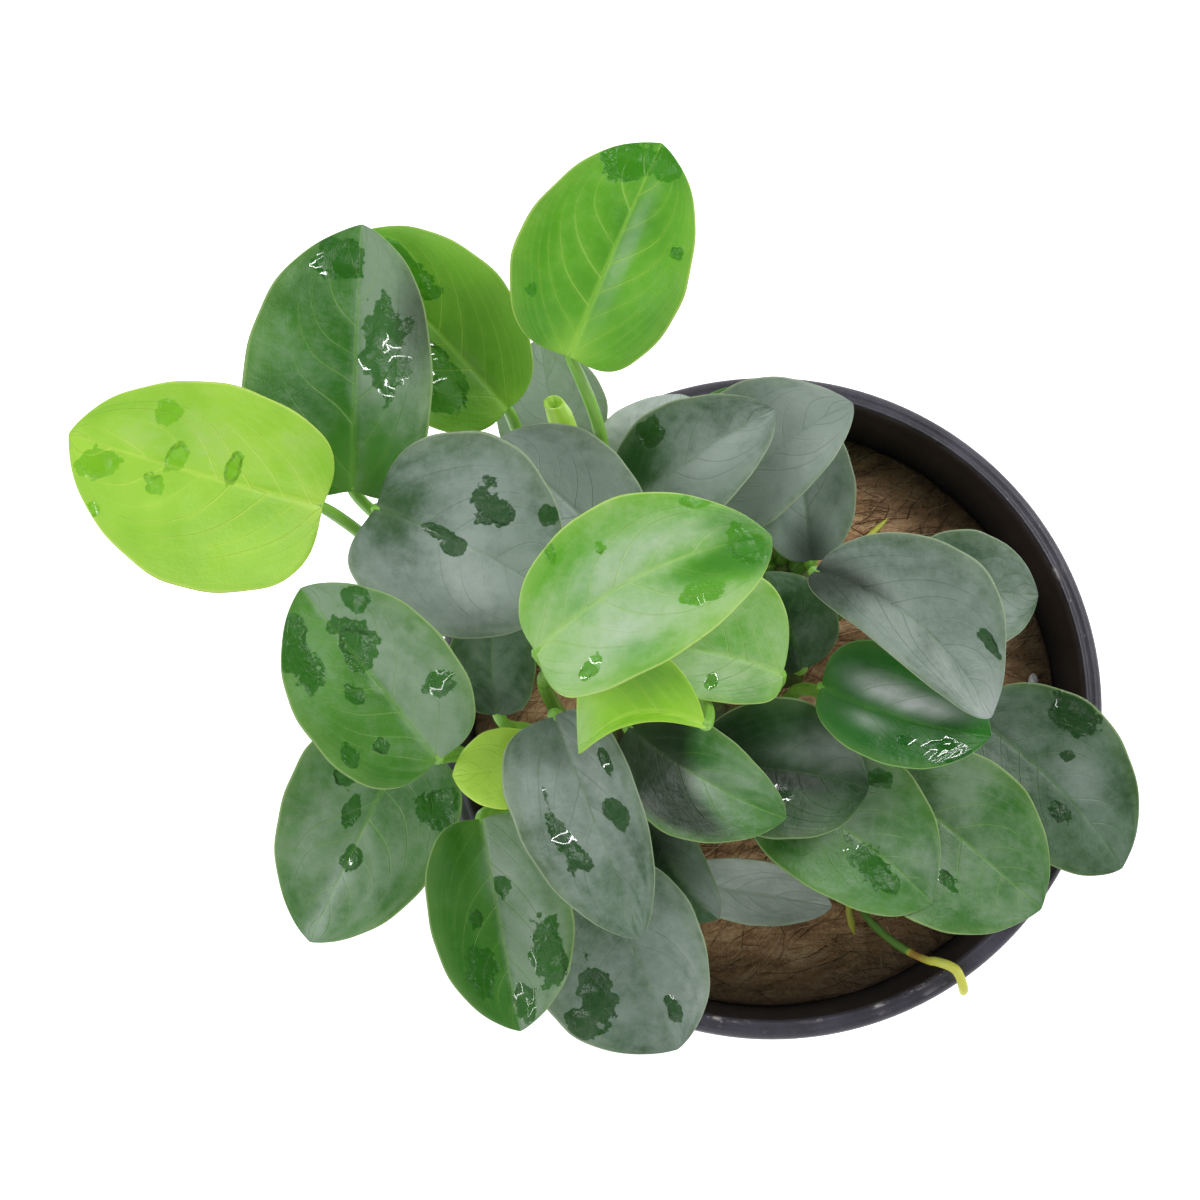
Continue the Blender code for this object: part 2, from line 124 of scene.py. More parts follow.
class Port:
    """One output socket, with Python's arithmetic between sockets and numbers."""

    def __init__(self, sheet: "Sheet", socket: bpy.types.NodeSocket) -> None:
        """Keep the socket and the sheet that new nodes go on."""
        self.sheet = sheet
        self.socket = socket

    def _math(self, operation: str, left: "Value", right: "Value" = 0.0) -> "Port":
        """Return the result of a Math node."""
        return self.sheet.node("ShaderNodeMath", {"operation": operation}, {0: left, 1: right})

    def __add__(self, other: "Value") -> "Port":
        """Return the sum."""
        return self._math("ADD", self, other)

    __radd__ = __add__

    def __sub__(self, other: "Value") -> "Port":
        """Return the difference."""
        return self._math("SUBTRACT", self, other)

    def __rsub__(self, other: "Value") -> "Port":
        """Return the difference, taken from a number."""
        return self._math("SUBTRACT", other, self)

    def __mul__(self, other: "Value") -> "Port":
        """Return the product."""
        return self._math("MULTIPLY", self, other)

    __rmul__ = __mul__

    def __truediv__(self, other: "Value") -> "Port":
        """Return the quotient."""
        return self._math("DIVIDE", self, other)

    def __pow__(self, other: "Value") -> "Port":
        """Return the power."""
        return self._math("POWER", self, other)

    def __abs__(self) -> "Port":
        """Return the absolute value."""
        return self._math("ABSOLUTE", self)

    def fraction(self) -> "Port":
        """Return the fractional part."""
        return self._math("FRACT", self)

    def whole(self) -> "Port":
        """Return the whole part below the value."""
        return self._math("FLOOR", self)

    def highest(self, other: "Value") -> "Port":
        """Return the larger of two values."""
        return self._math("MAXIMUM", self, other)

    def clamped(self) -> "Port":
        """Return the value held between 0 and 1."""
        return self._math("MINIMUM", self.highest(0.0), 1.0)

    def step(self, low: float, high: float) -> "Port":
        """Return a smooth step.

        Args:
            low: the value where the result is 0.
            high: the value where the result is 1, which may be below low.
        Returns:
            The step's port.
        """
        if high < low:
            return 1.0 - self.step(high, low)
        return self.sheet.node("ShaderNodeMapRange", {"interpolation_type": "SMOOTHSTEP"},
                               {"Value": self, "From Min": low, "From Max": high})


Value = Union[Port, float]


class Sheet:
    """The node sheet of one material, built from Python expressions."""

    def __init__(self, name: str) -> None:
        """Start a material with nothing but its output."""
        self.material = bpy.data.materials.new(name)
        self.material.use_nodes = True
        self.tree = self.material.node_tree
        self.tree.nodes.clear()
        self.output = self.tree.nodes.new("ShaderNodeOutputMaterial")

    def node(self, kind: str, settings: dict | None = None, values: dict | None = None,
             output: Union[int, str] = 0) -> Port:
        """Add a node.

        Args:
            kind: the node's type.
            settings: the node's own settings, set first; "stops" are a ramp's stops.
            values: numbers, colours or ports for its sockets, by name or number.
            output: which of its outputs is returned.
        Returns:
            The chosen output.
        """
        made = self.tree.nodes.new(kind)
        for key, value in (settings or {}).items():
            if key == "stops":
                self._stops(made, value)
            else:
                setattr(made, key, value)
        for key, value in (values or {}).items():
            socket = made.inputs[key]
            if isinstance(value, Port):
                self.tree.links.new(value.socket, socket)
            elif isinstance(value, tuple) and socket.type == "RGBA":
                socket.default_value = (*value, 1.0)
            else:
                socket.default_value = value
        return Port(self, made.outputs[output])

    @staticmethod
    def _stops(ramp: bpy.types.Node, stops: Sequence[tuple[float, Colour]]) -> None:
        """Set a colour ramp's stops."""
        elements = ramp.color_ramp.elements
        while len(elements) < len(stops):
            elements.new(0.5)
        for element, (place, colour) in zip(elements, stops):
            element.position = place
            element.color = (*colour, 1.0)

    def mix(self, factor: Value, first: Union[Port, Colour], second: Union[Port, Colour]) -> Port:
        """Return two colours mixed by a factor."""
        return self.node("ShaderNodeMix", {"data_type": "RGBA"}, {0: factor, 6: first, 7: second}, 2)

    def ramp(self, value: Port, stops: Sequence[tuple[float, Colour]]) -> Port:
        """Return a value turned into a colour."""
        return self.node("ShaderNodeValToRGB", {"stops": stops}, {"Fac": value})

    def place(self) -> Port:
        """Return the object's own coordinates, in metres."""
        return self.node("ShaderNodeTexCoord", output="Object")

    def stretched(self, scale: Place) -> Port:
        """Return the object's own coordinates, scaled unevenly."""
        return self.node("ShaderNodeMapping", {}, {"Vector": self.place(), "Scale": scale})

    def noise(self, pitch: float, detail: float = 3.0, rough: float = 0.55,
              at: Port | None = None) -> Port:
        """Return fractal noise from 0 to 1 whose features are about pitch millimetres across."""
        return self.node("ShaderNodeTexNoise", {},
                         {"Vector": at or self.place(), "Scale": 1.0 / (pitch * MM),
                          "Detail": detail, "Roughness": rough}, "Fac")

    def woven(self, first: Value, second: Value, detail: float) -> Port:
        """Return noise from 0 to 1 over two values of its own, with features about 1 across."""
        at = self.node("ShaderNodeCombineXYZ", {}, {0: first, 1: second})
        return self.node("ShaderNodeTexNoise", {}, {"Vector": at, "Scale": 1.0, "Detail": detail}, "Fac")

    def cells(self, pitch: float) -> Port:
        """Return the distance from the middles of cells about pitch millimetres across."""
        return self.node("ShaderNodeTexVoronoi", {},
                         {"Vector": self.place(), "Scale": 1.0 / (pitch * MM)}, "Distance")

    def paint(self, name: str) -> tuple[Port, Port, Port]:
        """Return the three parts of a value painted on the mesh."""
        whole = self.node("ShaderNodeAttribute", {"attribute_name": name}, {}, "Vector")
        split = self.node("ShaderNodeSeparateXYZ", {}, {0: whole})
        outputs = split.socket.node.outputs
        return tuple(Port(self, outputs[index]) for index in range(3))

    def bump(self, height: Port, depth: float, under: Port | None = None) -> Port:
        """Return a normal bent by a height from 0 to 1 that stands for depth millimetres."""
        values = {"Strength": 1.0, "Distance": depth * MM, "Height": height}
        if under is not None:
            values["Normal"] = under
        return self.node("ShaderNodeBump", {}, values, "Normal")

    def finish(self, **values: Union[Value, Colour]) -> bpy.types.Material:
        """Close the sheet with a Principled shader.

        Args:
            values: the shader's sockets, with an underscore for each space in a name.
        Returns:
            The finished material.
        """
        sockets = {name.replace("_", " "): value for name, value in values.items()}
        shader = self.node("ShaderNodeBsdfPrincipled", {}, sockets)
        self.tree.links.new(shader.socket, self.output.inputs["Surface"])
        return self.material


@dataclass(frozen=True)
class BladeMarks:
    """What a blade's mesh says about each of its places, as ports, with a fine noise beside it."""

    row: Port
    across: Port
    top: Port
    share: Port
    reach: Port
    drift: Port
    # veil is the share of painted sheen, shade that of painted shade, light the painted lightening or
    # darkening and pale that of the painted highlight.
    veil: Port
    wet: Port
    shade: Port
    light: Port
    tip_brown: Port
    pale: Port
    broad: Port
    streak: Port
    small: Port

    @classmethod
    def read(cls, sheet: Sheet) -> "BladeMarks":
        """Return the marks painted on the blade that a sheet is for."""
        broad, streak, _ = sheet.paint("cloud")
        return cls(*sheet.paint("blade"), *sheet.paint("plan"), *sheet.paint("dress"),
                   *sheet.paint("tone"), broad, streak, sheet.noise(2.2, 3.0, 0.70))

    @property
    def side(self) -> Port:
        """Return how far out from the midrib a place is, 1 at the margin."""
        return abs(self.across)


@dataclass(frozen=True)
class BladeLines:
    """The lines on a blade: the side veins, the soft glow along them and the midrib."""

    veins: Port
    glow: Port
    rib: Port


@dataclass(frozen=True)
class LeafFinish:
    """The skin of a leaf blade, with veins, painted sheen, painted highlight and painted shade, damp
    patches and a pale margin.

    body and deep are the leaf's own greens; deep also takes the painted darkening of darker leaves.
    damp is its green where it is wet, and also where painted shade falls. The grey of the painted
    sheen stands in for the lamps' reflection, glare is the white of the painted highlight and gloom
    the colour of the darkest painted shade. vein_share says how much the veins stand out. vein_line,
    rim_line and damp_line give where a vein, the pale rim and a damp patch begin and where they are
    full, and tip_line the same for the brown tip.
    """

    skin: Skin
    body: Colour
    deep: Colour
    vein: Colour
    margin: Colour
    # The grey of the painted sheen, which stands in for the lamps' reflection.
    painted_sheen: Colour
    damp: Colour
    vein_share: float
    # glare is the white of the painted highlight, gloom the colour of the darkest painted shade.
    glare: Colour = tint(202, 210, 208)
    gloom: Colour = tint(20, 34, 20)
    tip: Colour = tint(150, 96, 48)
    under: Colour = tint(150, 178, 120)
    veins_per_side: float = 7.0
    vein_start: float = 0.30
    vein_curve: float = 0.75
    vein_offset: float = 0.45
    vein_wander: float = 0.16
    vein_line: Span = (0.90, 0.985)
    rib_width: float = 1.3
    rib_thinning: float = 1.1
    rib_least: float = 0.22
    rim_line: Span = (0.965, 0.99)
    tip_line: Span = (0.972, 0.992)
    damp_line: Span = (-0.03, 0.06)
    drop_edge: float = 2.6
    film_swell: float = 3.6
    relief: float = 0.42
    film_coat: float = 0.62

    def _lines(self, sheet: Sheet, marks: BladeMarks) -> BladeLines:
        """Return the lines on the blade."""
        side = marks.side
        turned = marks.share - self.vein_start * side - self.vein_curve * side ** 4.0
        turned = turned + (marks.drift - 0.5) * self.vein_wander
        turned = turned * self.veins_per_side + marks.across.step(-0.01, 0.01) * self.vein_offset
        beat = abs(turned.fraction() - 0.5) * 2.0
        own = sheet.node("ShaderNodeTexWhiteNoise", {"noise_dimensions": "1D"},
                         {"W": (turned + 0.5).whole()}, "Value")
        fade = 0.25 + 0.75 * side.step(1.0, 0.45)
        rib_width = (self.rib_width - self.rib_thinning * marks.share).highest(self.rib_least)
        return BladeLines(beat.step(*self.vein_line) * (0.35 + 0.65 * own) * fade,
                          beat.step(0.3, 1.0) * fade,
                          (abs(marks.reach) / rib_width).step(1.0, 0.2))

    def _flesh(self, sheet: Sheet, marks: BladeMarks, lines: BladeLines) -> Port:
        """Return the leaf's green, lighter by the neck and along the veins, with painted light and shade
        laid in.
        """
        neck = marks.share.step(0.20, -0.02) * abs(marks.reach).step(7.0, 0.5)
        cloud = marks.broad * 1.5 - 0.25 + (marks.streak - 0.5) * 0.5
        glow = lines.glow * 0.18 + (marks.small - 0.45) * 0.5
        colour = sheet.mix(cloud.clamped(), self.deep, self.body)
        # Painted light and shade: light lifts the green towards the vein colour or, below 0, darkens it
        # towards the deep green.
        colour = sheet.mix((marks.light * 0.5).clamped(), colour, self.vein)
        colour = sheet.mix((0.0 - marks.light).clamped() * 0.8, colour, self.deep)
        # Painted shade: the deep spots pull the green towards the damp colour.
        colour = sheet.mix((marks.shade * (0.6 + marks.broad * 0.5)).clamped(), colour, self.damp)
        colour = sheet.mix(neck * self.vein_share, colour, self.vein)
        return sheet.mix(glow.clamped() * self.vein_share, colour, self.vein)

    def _with_painted_sheen(self, sheet: Sheet, marks: BladeMarks, colour: Port) -> Port:
        """Return a colour under the painted grey sheen and the painted white highlight."""
        # Painted sheen: a grey veil standing in for the lamps' reflection, mottled and weaker by the
        # margins.
        cloud = marks.veil * (1.12 - 0.45 * marks.side ** 3.0) + (marks.broad - 0.5) * 0.46
        cloud = cloud + (marks.streak - 0.5) * 0.36 + (marks.small - 0.5) * 0.60
        cloud = cloud.step(0.05, 1.0) * marks.veil.step(0.0, 0.25)
        colour = sheet.mix(cloud * 0.92, colour, self.painted_sheen)
        # Painted highlight: a white shine where the blade is marked pale.
        sheen = marks.pale * (0.55 + 0.5 * marks.streak + 0.4 * (marks.small - 0.5))
        return sheet.mix(sheen.clamped(), colour, self.glare)

    def _lined(self, sheet: Sheet, marks: BladeMarks, lines: BladeLines, colour: Port) -> Port:
        """Return a colour with the side veins, the midrib and a lighter rim drawn on it."""
        colour = sheet.mix((lines.veins * self.vein_share).clamped(), colour, self.vein)
        colour = sheet.mix(marks.side.step(0.72, 1.0) * 0.14, colour, self.margin)
        return sheet.mix(lines.rib * (0.08 + 0.50 * self.vein_share), colour, self.vein)

    def _wetted(self, sheet: Sheet, marks: BladeMarks, lines: BladeLines, colour: Port,
                damp: Port) -> Port:
        """Return a colour with the damp patches laid in."""
        wet = sheet.mix(marks.light.clamped(), self.damp, self.deep)
        drawn = ((lines.veins + lines.rib * 0.6) * self.vein_share).clamped() * 0.5
        return sheet.mix(damp * (0.98 - 0.20 * marks.small), colour, sheet.mix(drawn, wet, self.vein))

    def _underside(self, sheet: Sheet, marks: BladeMarks, lines: BladeLines) -> Port:
        """Return the paler underside, its midrib and veins faint."""
        colour = sheet.mix(0.35 + marks.small * 0.2, self.body, self.under)
        return sheet.mix((lines.rib * 0.5 + lines.veins * 0.3).clamped(), colour, self.margin)

    def make(self) -> bpy.types.Material:
        """Return the material."""
        sheet = Sheet(f"{self.skin.value}_skin")
        marks = BladeMarks.read(sheet)
        lines = self._lines(sheet, marks)
        ragged = marks.wet + (sheet.noise(7.0, 3.6, 0.64) - 0.5) * self.drop_edge
        damp = ragged.step(*self.damp_line)

        colour = self._with_painted_sheen(sheet, marks, self._flesh(sheet, marks, lines))
        colour = self._wetted(sheet, marks, lines, self._lined(sheet, marks, lines, colour), damp)
        # Painted shade: deep spots stronger than 1 darken further to the gloom colour.
        colour = sheet.mix((marks.shade - 1.0).clamped() * 0.85, colour, self.gloom)
        colour = sheet.mix(marks.side.step(*self.rim_line) * 0.65, colour, self.margin)
        browned = marks.row.step(*self.tip_line) * marks.tip_brown
        colour = sheet.mix(browned * 0.9, colour, self.tip)
        colour = sheet.mix(marks.top, self._underside(sheet, marks, lines), colour)

        film = damp * marks.top
        raised = (1.0 - lines.veins * 0.5 - lines.rib * 0.3) * 0.5 + marks.small * 0.5
        swell = (sheet.noise(8.0, 0.6) - 0.5) * ragged.step(-0.05, 0.55) * marks.top
        normal = sheet.bump(swell, self.film_swell, sheet.bump(raised, self.relief))
        gloss = 0.41 + 0.26 * (marks.small - 0.5) - 0.08 * (marks.streak - 0.5)
        gloss = gloss - 0.12 * film + 0.14 * (1.0 - marks.top)
        return sheet.finish(Base_Color=colour, Roughness=gloss.clamped(), Normal=normal,
                            Coat_Weight=film * self.film_coat, Coat_Roughness=0.04,
                            Specular_IOR_Level=0.32)


@dataclass(frozen=True)
class StalkFinish:
    """The skin of a petiole or a green stem: long pale streaks on a fresh green."""

    name: str = "stalk_skin"
    foot: Colour = tint(84, 128, 42)
    body: Colour = tint(116, 176, 52)
    pale: Colour = tint(178, 208, 120)

    def make(self) -> bpy.types.Material:
        """Return the material."""
        sheet = Sheet(self.name)
        along, around, _ = sheet.paint("tube")
        streak = sheet.woven(along * 3.2, around * 14.4, 3.0)
        patch = sheet.noise(6.0, 3.0)
        colour = sheet.mix(along.step(0.0, 0.45), self.foot, self.body)
        colour = sheet.mix(streak.step(0.45, 0.75) * 0.5, colour, self.pale)
        colour = sheet.mix((patch - 0.5).clamped() * 0.8, colour, self.foot)
        normal = sheet.bump(streak * 0.7 + sheet.noise(0.8, 2.0) * 0.3, 0.18)
        return sheet.finish(Base_Color=colour, Roughness=0.34 + patch * 0.14, Normal=normal,
                            Coat_Weight=patch.step(0.45, 0.7) * 0.4, Coat_Roughness=0.15)


@dataclass(frozen=True)
class RootFinish:
    """A loose root: green stem, brown collar and yellow root in turn along its length."""

    name: str
    green_until: float
    stem: Colour = tint(92, 140, 48)
    collar: Colour = tint(168, 132, 50)
    root: Colour = tint(206, 206, 78)
    tip: Colour = tint(196, 214, 118)

    def make(self) -> bpy.types.Material:
        """Return the material."""
        sheet = Sheet(self.name)
        along, _, _ = sheet.paint("tube")
        patch = sheet.noise(1.8, 3.0)
        wander = along + (patch - 0.5) * 0.04
        colour = sheet.mix(patch.step(0.4, 0.7) * 0.4, self.root, self.tip)
        collar = wander.step(self.green_until, self.green_until + 0.02)
        collar = collar * wander.step(self.green_until + 0.10, self.green_until + 0.04)
        colour = sheet.mix(collar, colour, self.collar)
        green = wander.step(self.green_until + 0.01, self.green_until - 0.01)
        colour = sheet.mix(green, colour, self.stem)
        normal = sheet.bump(patch * 0.5 + sheet.noise(0.5, 2.0) * 0.5, 0.15)
        return sheet.finish(Base_Color=colour, Roughness=0.42 + patch * 0.15, Normal=normal)


@dataclass(frozen=True)
class RhizomeFinish:
    """The rhizome's skin: green, with brown leaf scars in rings."""

    name: str = "rhizome_skin"
    body: Colour = tint(44, 66, 24)
    scar: Colour = tint(56, 42, 24)
    pale: Colour = tint(96, 112, 48)

    def make(self) -> bpy.types.Material:
        """Return the material."""
        sheet = Sheet(self.name)
        along, _, scar = sheet.paint("tube")
        patch = sheet.noise(4.0, 4.0)
        colour = sheet.mix(patch.step(0.3, 0.7), self.body, self.pale)
        colour = sheet.mix((scar * (0.5 + patch)).clamped(), colour, self.scar)
        colour = sheet.mix(sheet.noise(1.4, 3.0).step(0.56, 0.72) * 0.6, colour, self.scar)
        normal = sheet.bump(patch * 0.6 + sheet.noise(0.7, 2.0) * 0.4, 0.4)
        return sheet.finish(Base_Color=colour, Roughness=0.5 + patch * 0.2, Normal=normal)


@dataclass(frozen=True)
class PotFinish:
    """Moulded charcoal plastic, dusty and scuffed along its rim, with painted shade on its inner wall."""

    name: str = "pot_skin"
    body: Colour = tint(48, 46, 56)
    dust: Colour = tint(100, 95, 112)
    scuff: Colour = tint(176, 170, 168)
    shade: Colour = tint(15, 14, 16)

    def make(self) -> bpy.types.Material:
        """Return the material."""
        sheet = Sheet(self.name)
        # The wear paint carries the wear along the rim and foot, then the mask of the inner wall's
        # painted shade.
        wear, inside, _ = sheet.paint("wear")
        clouds = sheet.noise(22.0, 4.0)
        fleck = sheet.cells(2.6).step(0.16, 0.07) * sheet.noise(7.0, 2.0).step(0.52, 0.62)
        around = sheet.noise(5.0, 5.0, 0.7, sheet.stretched((1.0, 1.0, 4.0)))
        scrape = around.step(0.54, 0.66) * sheet.noise(26.0, 2.0).step(0.46, 0.60)
        streaks = sheet.noise(9.0, 3.0, 0.6, sheet.stretched((1.0, 1.0, 0.16)))
        dusty = (clouds * 0.45 + streaks * 0.55).step(0.36, 0.74)
        colour = sheet.mix(dusty * (0.22 + 0.33 * wear), self.body, self.dust)
        # Painted shade on the inner wall below the lip.
        colour = sheet.mix(inside * 0.75, colour, self.shade)
        colour = sheet.mix(wear.step(0.5, 1.0) * scrape * 0.85, colour, self.scuff)
        colour = sheet.mix(fleck * (0.15 + 0.5 * wear), colour, self.scuff)
        grain = sheet.noise(0.6, 2.0)
        normal = sheet.bump(grain * 0.6 + clouds * 0.4, 0.12)
        gloss = 0.34 + clouds * 0.22 + wear * scrape * 0.2
        return sheet.finish(Base_Color=colour, Roughness=gloss, Normal=normal)


@dataclass(frozen=True)
class CoirFinish:
    """Matted fibre: pale and dark browns mixed in small tufts, with painted shade darkening it towards
    the wall.
    """

    name: str
    strand: bool
    dark: Colour
    mid: Colour
    pale: Colour

    def make(self) -> bpy.types.Material:
        """Return the material."""
        sheet = Sheet(self.name)
        tone, edge, _ = sheet.paint("fibre")
        tuft = sheet.noise(4.0, 5.0, 0.65, sheet.stretched((0.32, 1.0, 1.0)))
        fine = sheet.noise(0.9, 4.0, 0.7)
        value = tone * 0.45 + tuft * 0.55 if self.strand else tuft * 0.6 + fine * 0.4
        colour = sheet.ramp(value, [(0.30, self.dark), (0.50, self.mid), (0.74, self.pale)])
        # Painted shade: darker towards the pot wall.
        colour = sheet.mix(edge * 0.82, colour, tint(26, 18, 14))
        normal = sheet.bump(fine * 0.6 + tuft * 0.4, 0.5)
        return sheet.finish(Base_Color=colour, Roughness=0.78 + fine * 0.2, Normal=normal)


@dataclass(frozen=True)
class GrainFinish:
    """A white mineral grain."""

    name: str = "grain_skin"

    def make(self) -> bpy.types.Material:
        """Return the material."""
        sheet = Sheet(self.name)
        patch = sheet.noise(0.8, 3.0)
        colour = sheet.mix(patch.step(0.3, 0.7), tint(236, 234, 240), tint(206, 200, 214))
        return sheet.finish(Base_Color=colour, Roughness=0.5 + patch * 0.2,
                            Normal=sheet.bump(sheet.noise(0.4, 3.0), 0.25))


@dataclass(frozen=True)
class FloorFinish:
    """The plain pale studio floor, slightly lit through from below."""

    name: str = "floor_skin"
    glow: float = 0.72

    def make(self) -> bpy.types.Material:
        """Return the material."""
        sheet = Sheet(self.name)
        patch = sheet.noise(400.0, 1.0)
        colour = sheet.mix(patch, tint(250, 250, 250), tint(247, 247, 248))
        return sheet.finish(Base_Color=colour, Roughness=0.8, Emission_Color=colour,
                            Emission_Strength=self.glow)


class Shell:
    """A mesh under construction: points, faces and the values painted on them."""

    def __init__(self, name: str, *paints: str) -> None:
        """Start an empty mesh with the named paints, each of three parts."""
        self.name = name
        self.points: list[Array] = []
        self.faces: list[list[int]] = []
        self.slots: list[int] = []
        self.paints: dict[str, list[Array]] = {paint: [] for paint in paints}
        self.count = 0

    def add(self, points: Array, faces: Iterable[Sequence[int]], slot: int = 0,
            **paints: Array) -> None:
        """Add points and faces.

        Args:
            points: an array of places in millimetres.
            faces: corner numbers counted from the first of these points.
            slot: the number of the faces' material.
            paints: an array of three values a point for each paint, zeros where left out.
        """
        shifted = [[corner + self.count for corner in face] for face in faces]
        self.points.append(points)
        self.faces += shifted
        self.slots += [slot] * len(shifted)
        for name, rows in self.paints.items():
            rows.append(paints.get(name, np.zeros((len(points), 3))))
        self.count += len(points)

    def loft(self, rings: Array, slot: int = 0, **paints: Array) -> None:
        """Add a closed loft through equal rings, its ends closed to a point.

        Args:
            rings: places of shape (rings, points in a ring, 3).
            slot: the number of the faces' material.
            paints: values of the same shape for each paint.
        """
        rows, around = rings.shape[:2]
        faces = [[0, 1 + (k + 1) % around, 1 + k] for k in range(around)]
        for row in range(rows - 1):
            low = 1 + row * around
            for k in range(around):
                after = (k + 1) % around
                faces.append([low + k, low + after, low + around + after, low + around + k])
        last = 1 + (rows - 1) * around
        end = last + around
        faces += [[last + k, last + (k + 1) % around, end] for k in range(around)]
        ends = {name: self._closed(value) for name, value in paints.items()}
        self.add(self._closed(rings), faces, slot, **ends)

    @staticmethod
    def _closed(rings: Array) -> Array:
        """Return the rings as one row of places, with the middle of each end ring added."""
        flat = rings.reshape(-1, 3)
        return np.vstack([rings[0].mean(axis=0), flat, rings[-1].mean(axis=0)])

    def finish(self, materials: Sequence[bpy.types.Material]) -> bpy.types.Object:
        """Return the finished object, shaded smooth, in the scene."""
        mesh = bpy.data.meshes.new(self.name)
        mesh.from_pydata((np.vstack(self.points) * MM).tolist(), [], self.faces)
        for material in materials:
            mesh.materials.append(material)
        mesh.polygons.foreach_set("material_index", self.slots)
        for name, rows in self.paints.items():
            layer = mesh.attributes.new(name, "FLOAT_VECTOR", "POINT")
            layer.data.foreach_set("vector", np.vstack(rows).astype(np.float32).ravel())
        work = bmesh.new()
        work.from_mesh(mesh)
        bmesh.ops.recalc_face_normals(work, faces=work.faces)
        work.to_mesh(mesh)
        work.free()
        mesh.shade_smooth()
        item = bpy.data.objects.new(self.name, mesh)
        bpy.context.scene.collection.objects.link(item)
        return item


def seat(item: bpy.types.Object, slot: Slot, *nodes: str) -> bpy.types.Object:
    """Let a piece ride on the plant, in place of the named solids.

    Args:
        item: the piece.
        slot: not used.
        nodes: the solids that it replaces.
    Returns:
        The piece.
    """
    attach(item, ROOT)
    if nodes:
        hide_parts(*nodes)
    LOG.info("%s: %d faces, for %s", item.name, len(item.data.polygons), ", ".join(nodes) or "nothing")
    return item


def unit(vector: Array) -> Array:
    """Return a vector, or each row of vectors, at length one."""
    length = np.linalg.norm(vector, axis=-1, keepdims=True)
    return vector / np.maximum(length, 1e-9)


def smooth_path(points: Array, samples: int) -> Array:
    """Return a Catmull-Rom curve through the points, samples to each span."""
    known = np.array(points, float)
    known = np.vstack([2 * known[0] - known[1], known, 2 * known[-1] - known[-2]])
    rows = []
    for index in range(1, len(known) - 2):
        p0, p1, p2, p3 = known[index - 1:index + 3]
        for step in range(samples):
            t = step / samples
            rows.append(0.5 * (2 * p1 + (p2 - p0) * t + (2 * p0 - 5 * p1 + 4 * p2 - p3) * t ** 2
                               + (3 * p1 - p0 - 3 * p2 + p3) * t ** 3))
    rows.append(known[-2])
    return np.array(rows)


def tube_rings(path: Array, radii: Array, sides: int) -> tuple[Array, Array]:
    """Return the rings of a round tube that doesn't twist.

    Args:
        path: the centre line.
        radii: one radius for each point of it.
        sides: the points in a ring.
    Returns:
        The rings, and for each of their points how far along and around it is, from 0 to 1.
    """
    heading = unit(np.gradient(path, axis=0))
    across = np.cross(heading[0], OFF_AXIS)
    frames = []
    for row in heading:
        across = unit(across - row * np.dot(across, row))
        frames.append((across, np.cross(row, across)))
    frames = np.array(frames)
    angles = np.linspace(0.0, math.tau, sides, endpoint=False)
    circle = (np.cos(angles)[None, :, None] * frames[:, 0][:, None]
              + np.sin(angles)[None, :, None] * frames[:, 1][:, None])
    rings = path[:, None] + circle * np.asarray(radii)[:, None, None]
    steps = np.linalg.norm(np.diff(path, axis=0), axis=1)
    along = np.concatenate([[0.0], np.cumsum(steps)]) / steps.sum()
    where = np.zeros(rings.shape)
    where[..., 0] = along[:, None]
    where[..., 1] = (angles / math.tau)[None]
    return rings, where


@dataclass(frozen=True)
class Habit:
    """A blade's outline: where it is widest, how far its lobes reach back, how long its point is."""

    full: float
    lobe: float
    point: float


HEART = Habit(full=0.85, lobe=0.13, point=1.4)
BROAD = Habit(full=0.85, lobe=0.07, point=1.4)
ROUND = Habit(full=0.95, lobe=0.09, point=1.2)
OVAL = Habit(full=0.95, lobe=0.05, point=1.4)
LONG = Habit(full=0.75, lobe=0.04, point=1.4)

LOBE_REACH = 0.75
LOBE_SCALE = 1.6
LOBE_SPREAD = 1.5
CUP_POWER = 1.6
RIB_STATIONS = (0.03, 0.12, 0.2, 0.28, 0.38, 0.5)
RIB_RADII = (1.15, 0.95, 0.85, 0.75, 0.55, 0.3)
RIB_CLEARANCE = 0.05
POT_HEIGHT = 100.0
POT_FOOT_RADIUS = 57.0
POT_WALL = 1.4
POT_RIM_RADIUS = 72.5
POT_LIP_WIDTH = 4.2
GAP = 0.3
TABLE_SIZE = 128
OFF_AXIS = (0.31, 0.87, 0.38)


def outer_radius(height: Union[float, Array]) -> Union[float, Array]:
    """Return the radius of the pot's outer wall at a height."""
    top = POT_RIM_RADIUS - POT_LIP_WIDTH + POT_WALL
    return POT_FOOT_RADIUS + (top - POT_FOOT_RADIUS) * height / POT_HEIGHT


def medium_top(x: Union[float, Array], y: Union[float, Array]) -> Union[float, Array]:
    """Return the height of the medium's gently domed top at a plan place."""
    share = np.hypot(x, y) / POT_FOOT_RADIUS
    return POT_HEIGHT - Medium.depth_below_rim + Medium.dome * (1.0 - share * share)


def lumps(x: Array, y: Array, pitch: float, pattern: Pattern) -> Array:
    """Return smooth random heights from -1 to 1.

    Args:
        x: plan places in millimetres.
        y: plan places in millimetres.
        pitch: the size of the lumps.
        pattern: which random pattern they are cut from.
    Returns:
        One height for each place.
    """
    table = np.random.default_rng(int(pattern)).uniform(-1.0, 1.0, (TABLE_SIZE, TABLE_SIZE))
    u, v = np.asarray(x) / pitch + TABLE_SIZE / 2, np.asarray(y) / pitch + TABLE_SIZE / 2
    i, j = np.floor(u).astype(int), np.floor(v).astype(int)
    s, t = u - i, v - j
    s, t = s * s * (3.0 - 2.0 * s), t * t * (3.0 - 2.0 * t)
    i, j = i % (TABLE_SIZE - 1), j % (TABLE_SIZE - 1)
    low = table[i, j] * (1.0 - s) + table[i + 1, j] * s
    high = table[i, j + 1] * (1.0 - s) + table[i + 1, j + 1] * s
    return low * (1.0 - t) + high * t


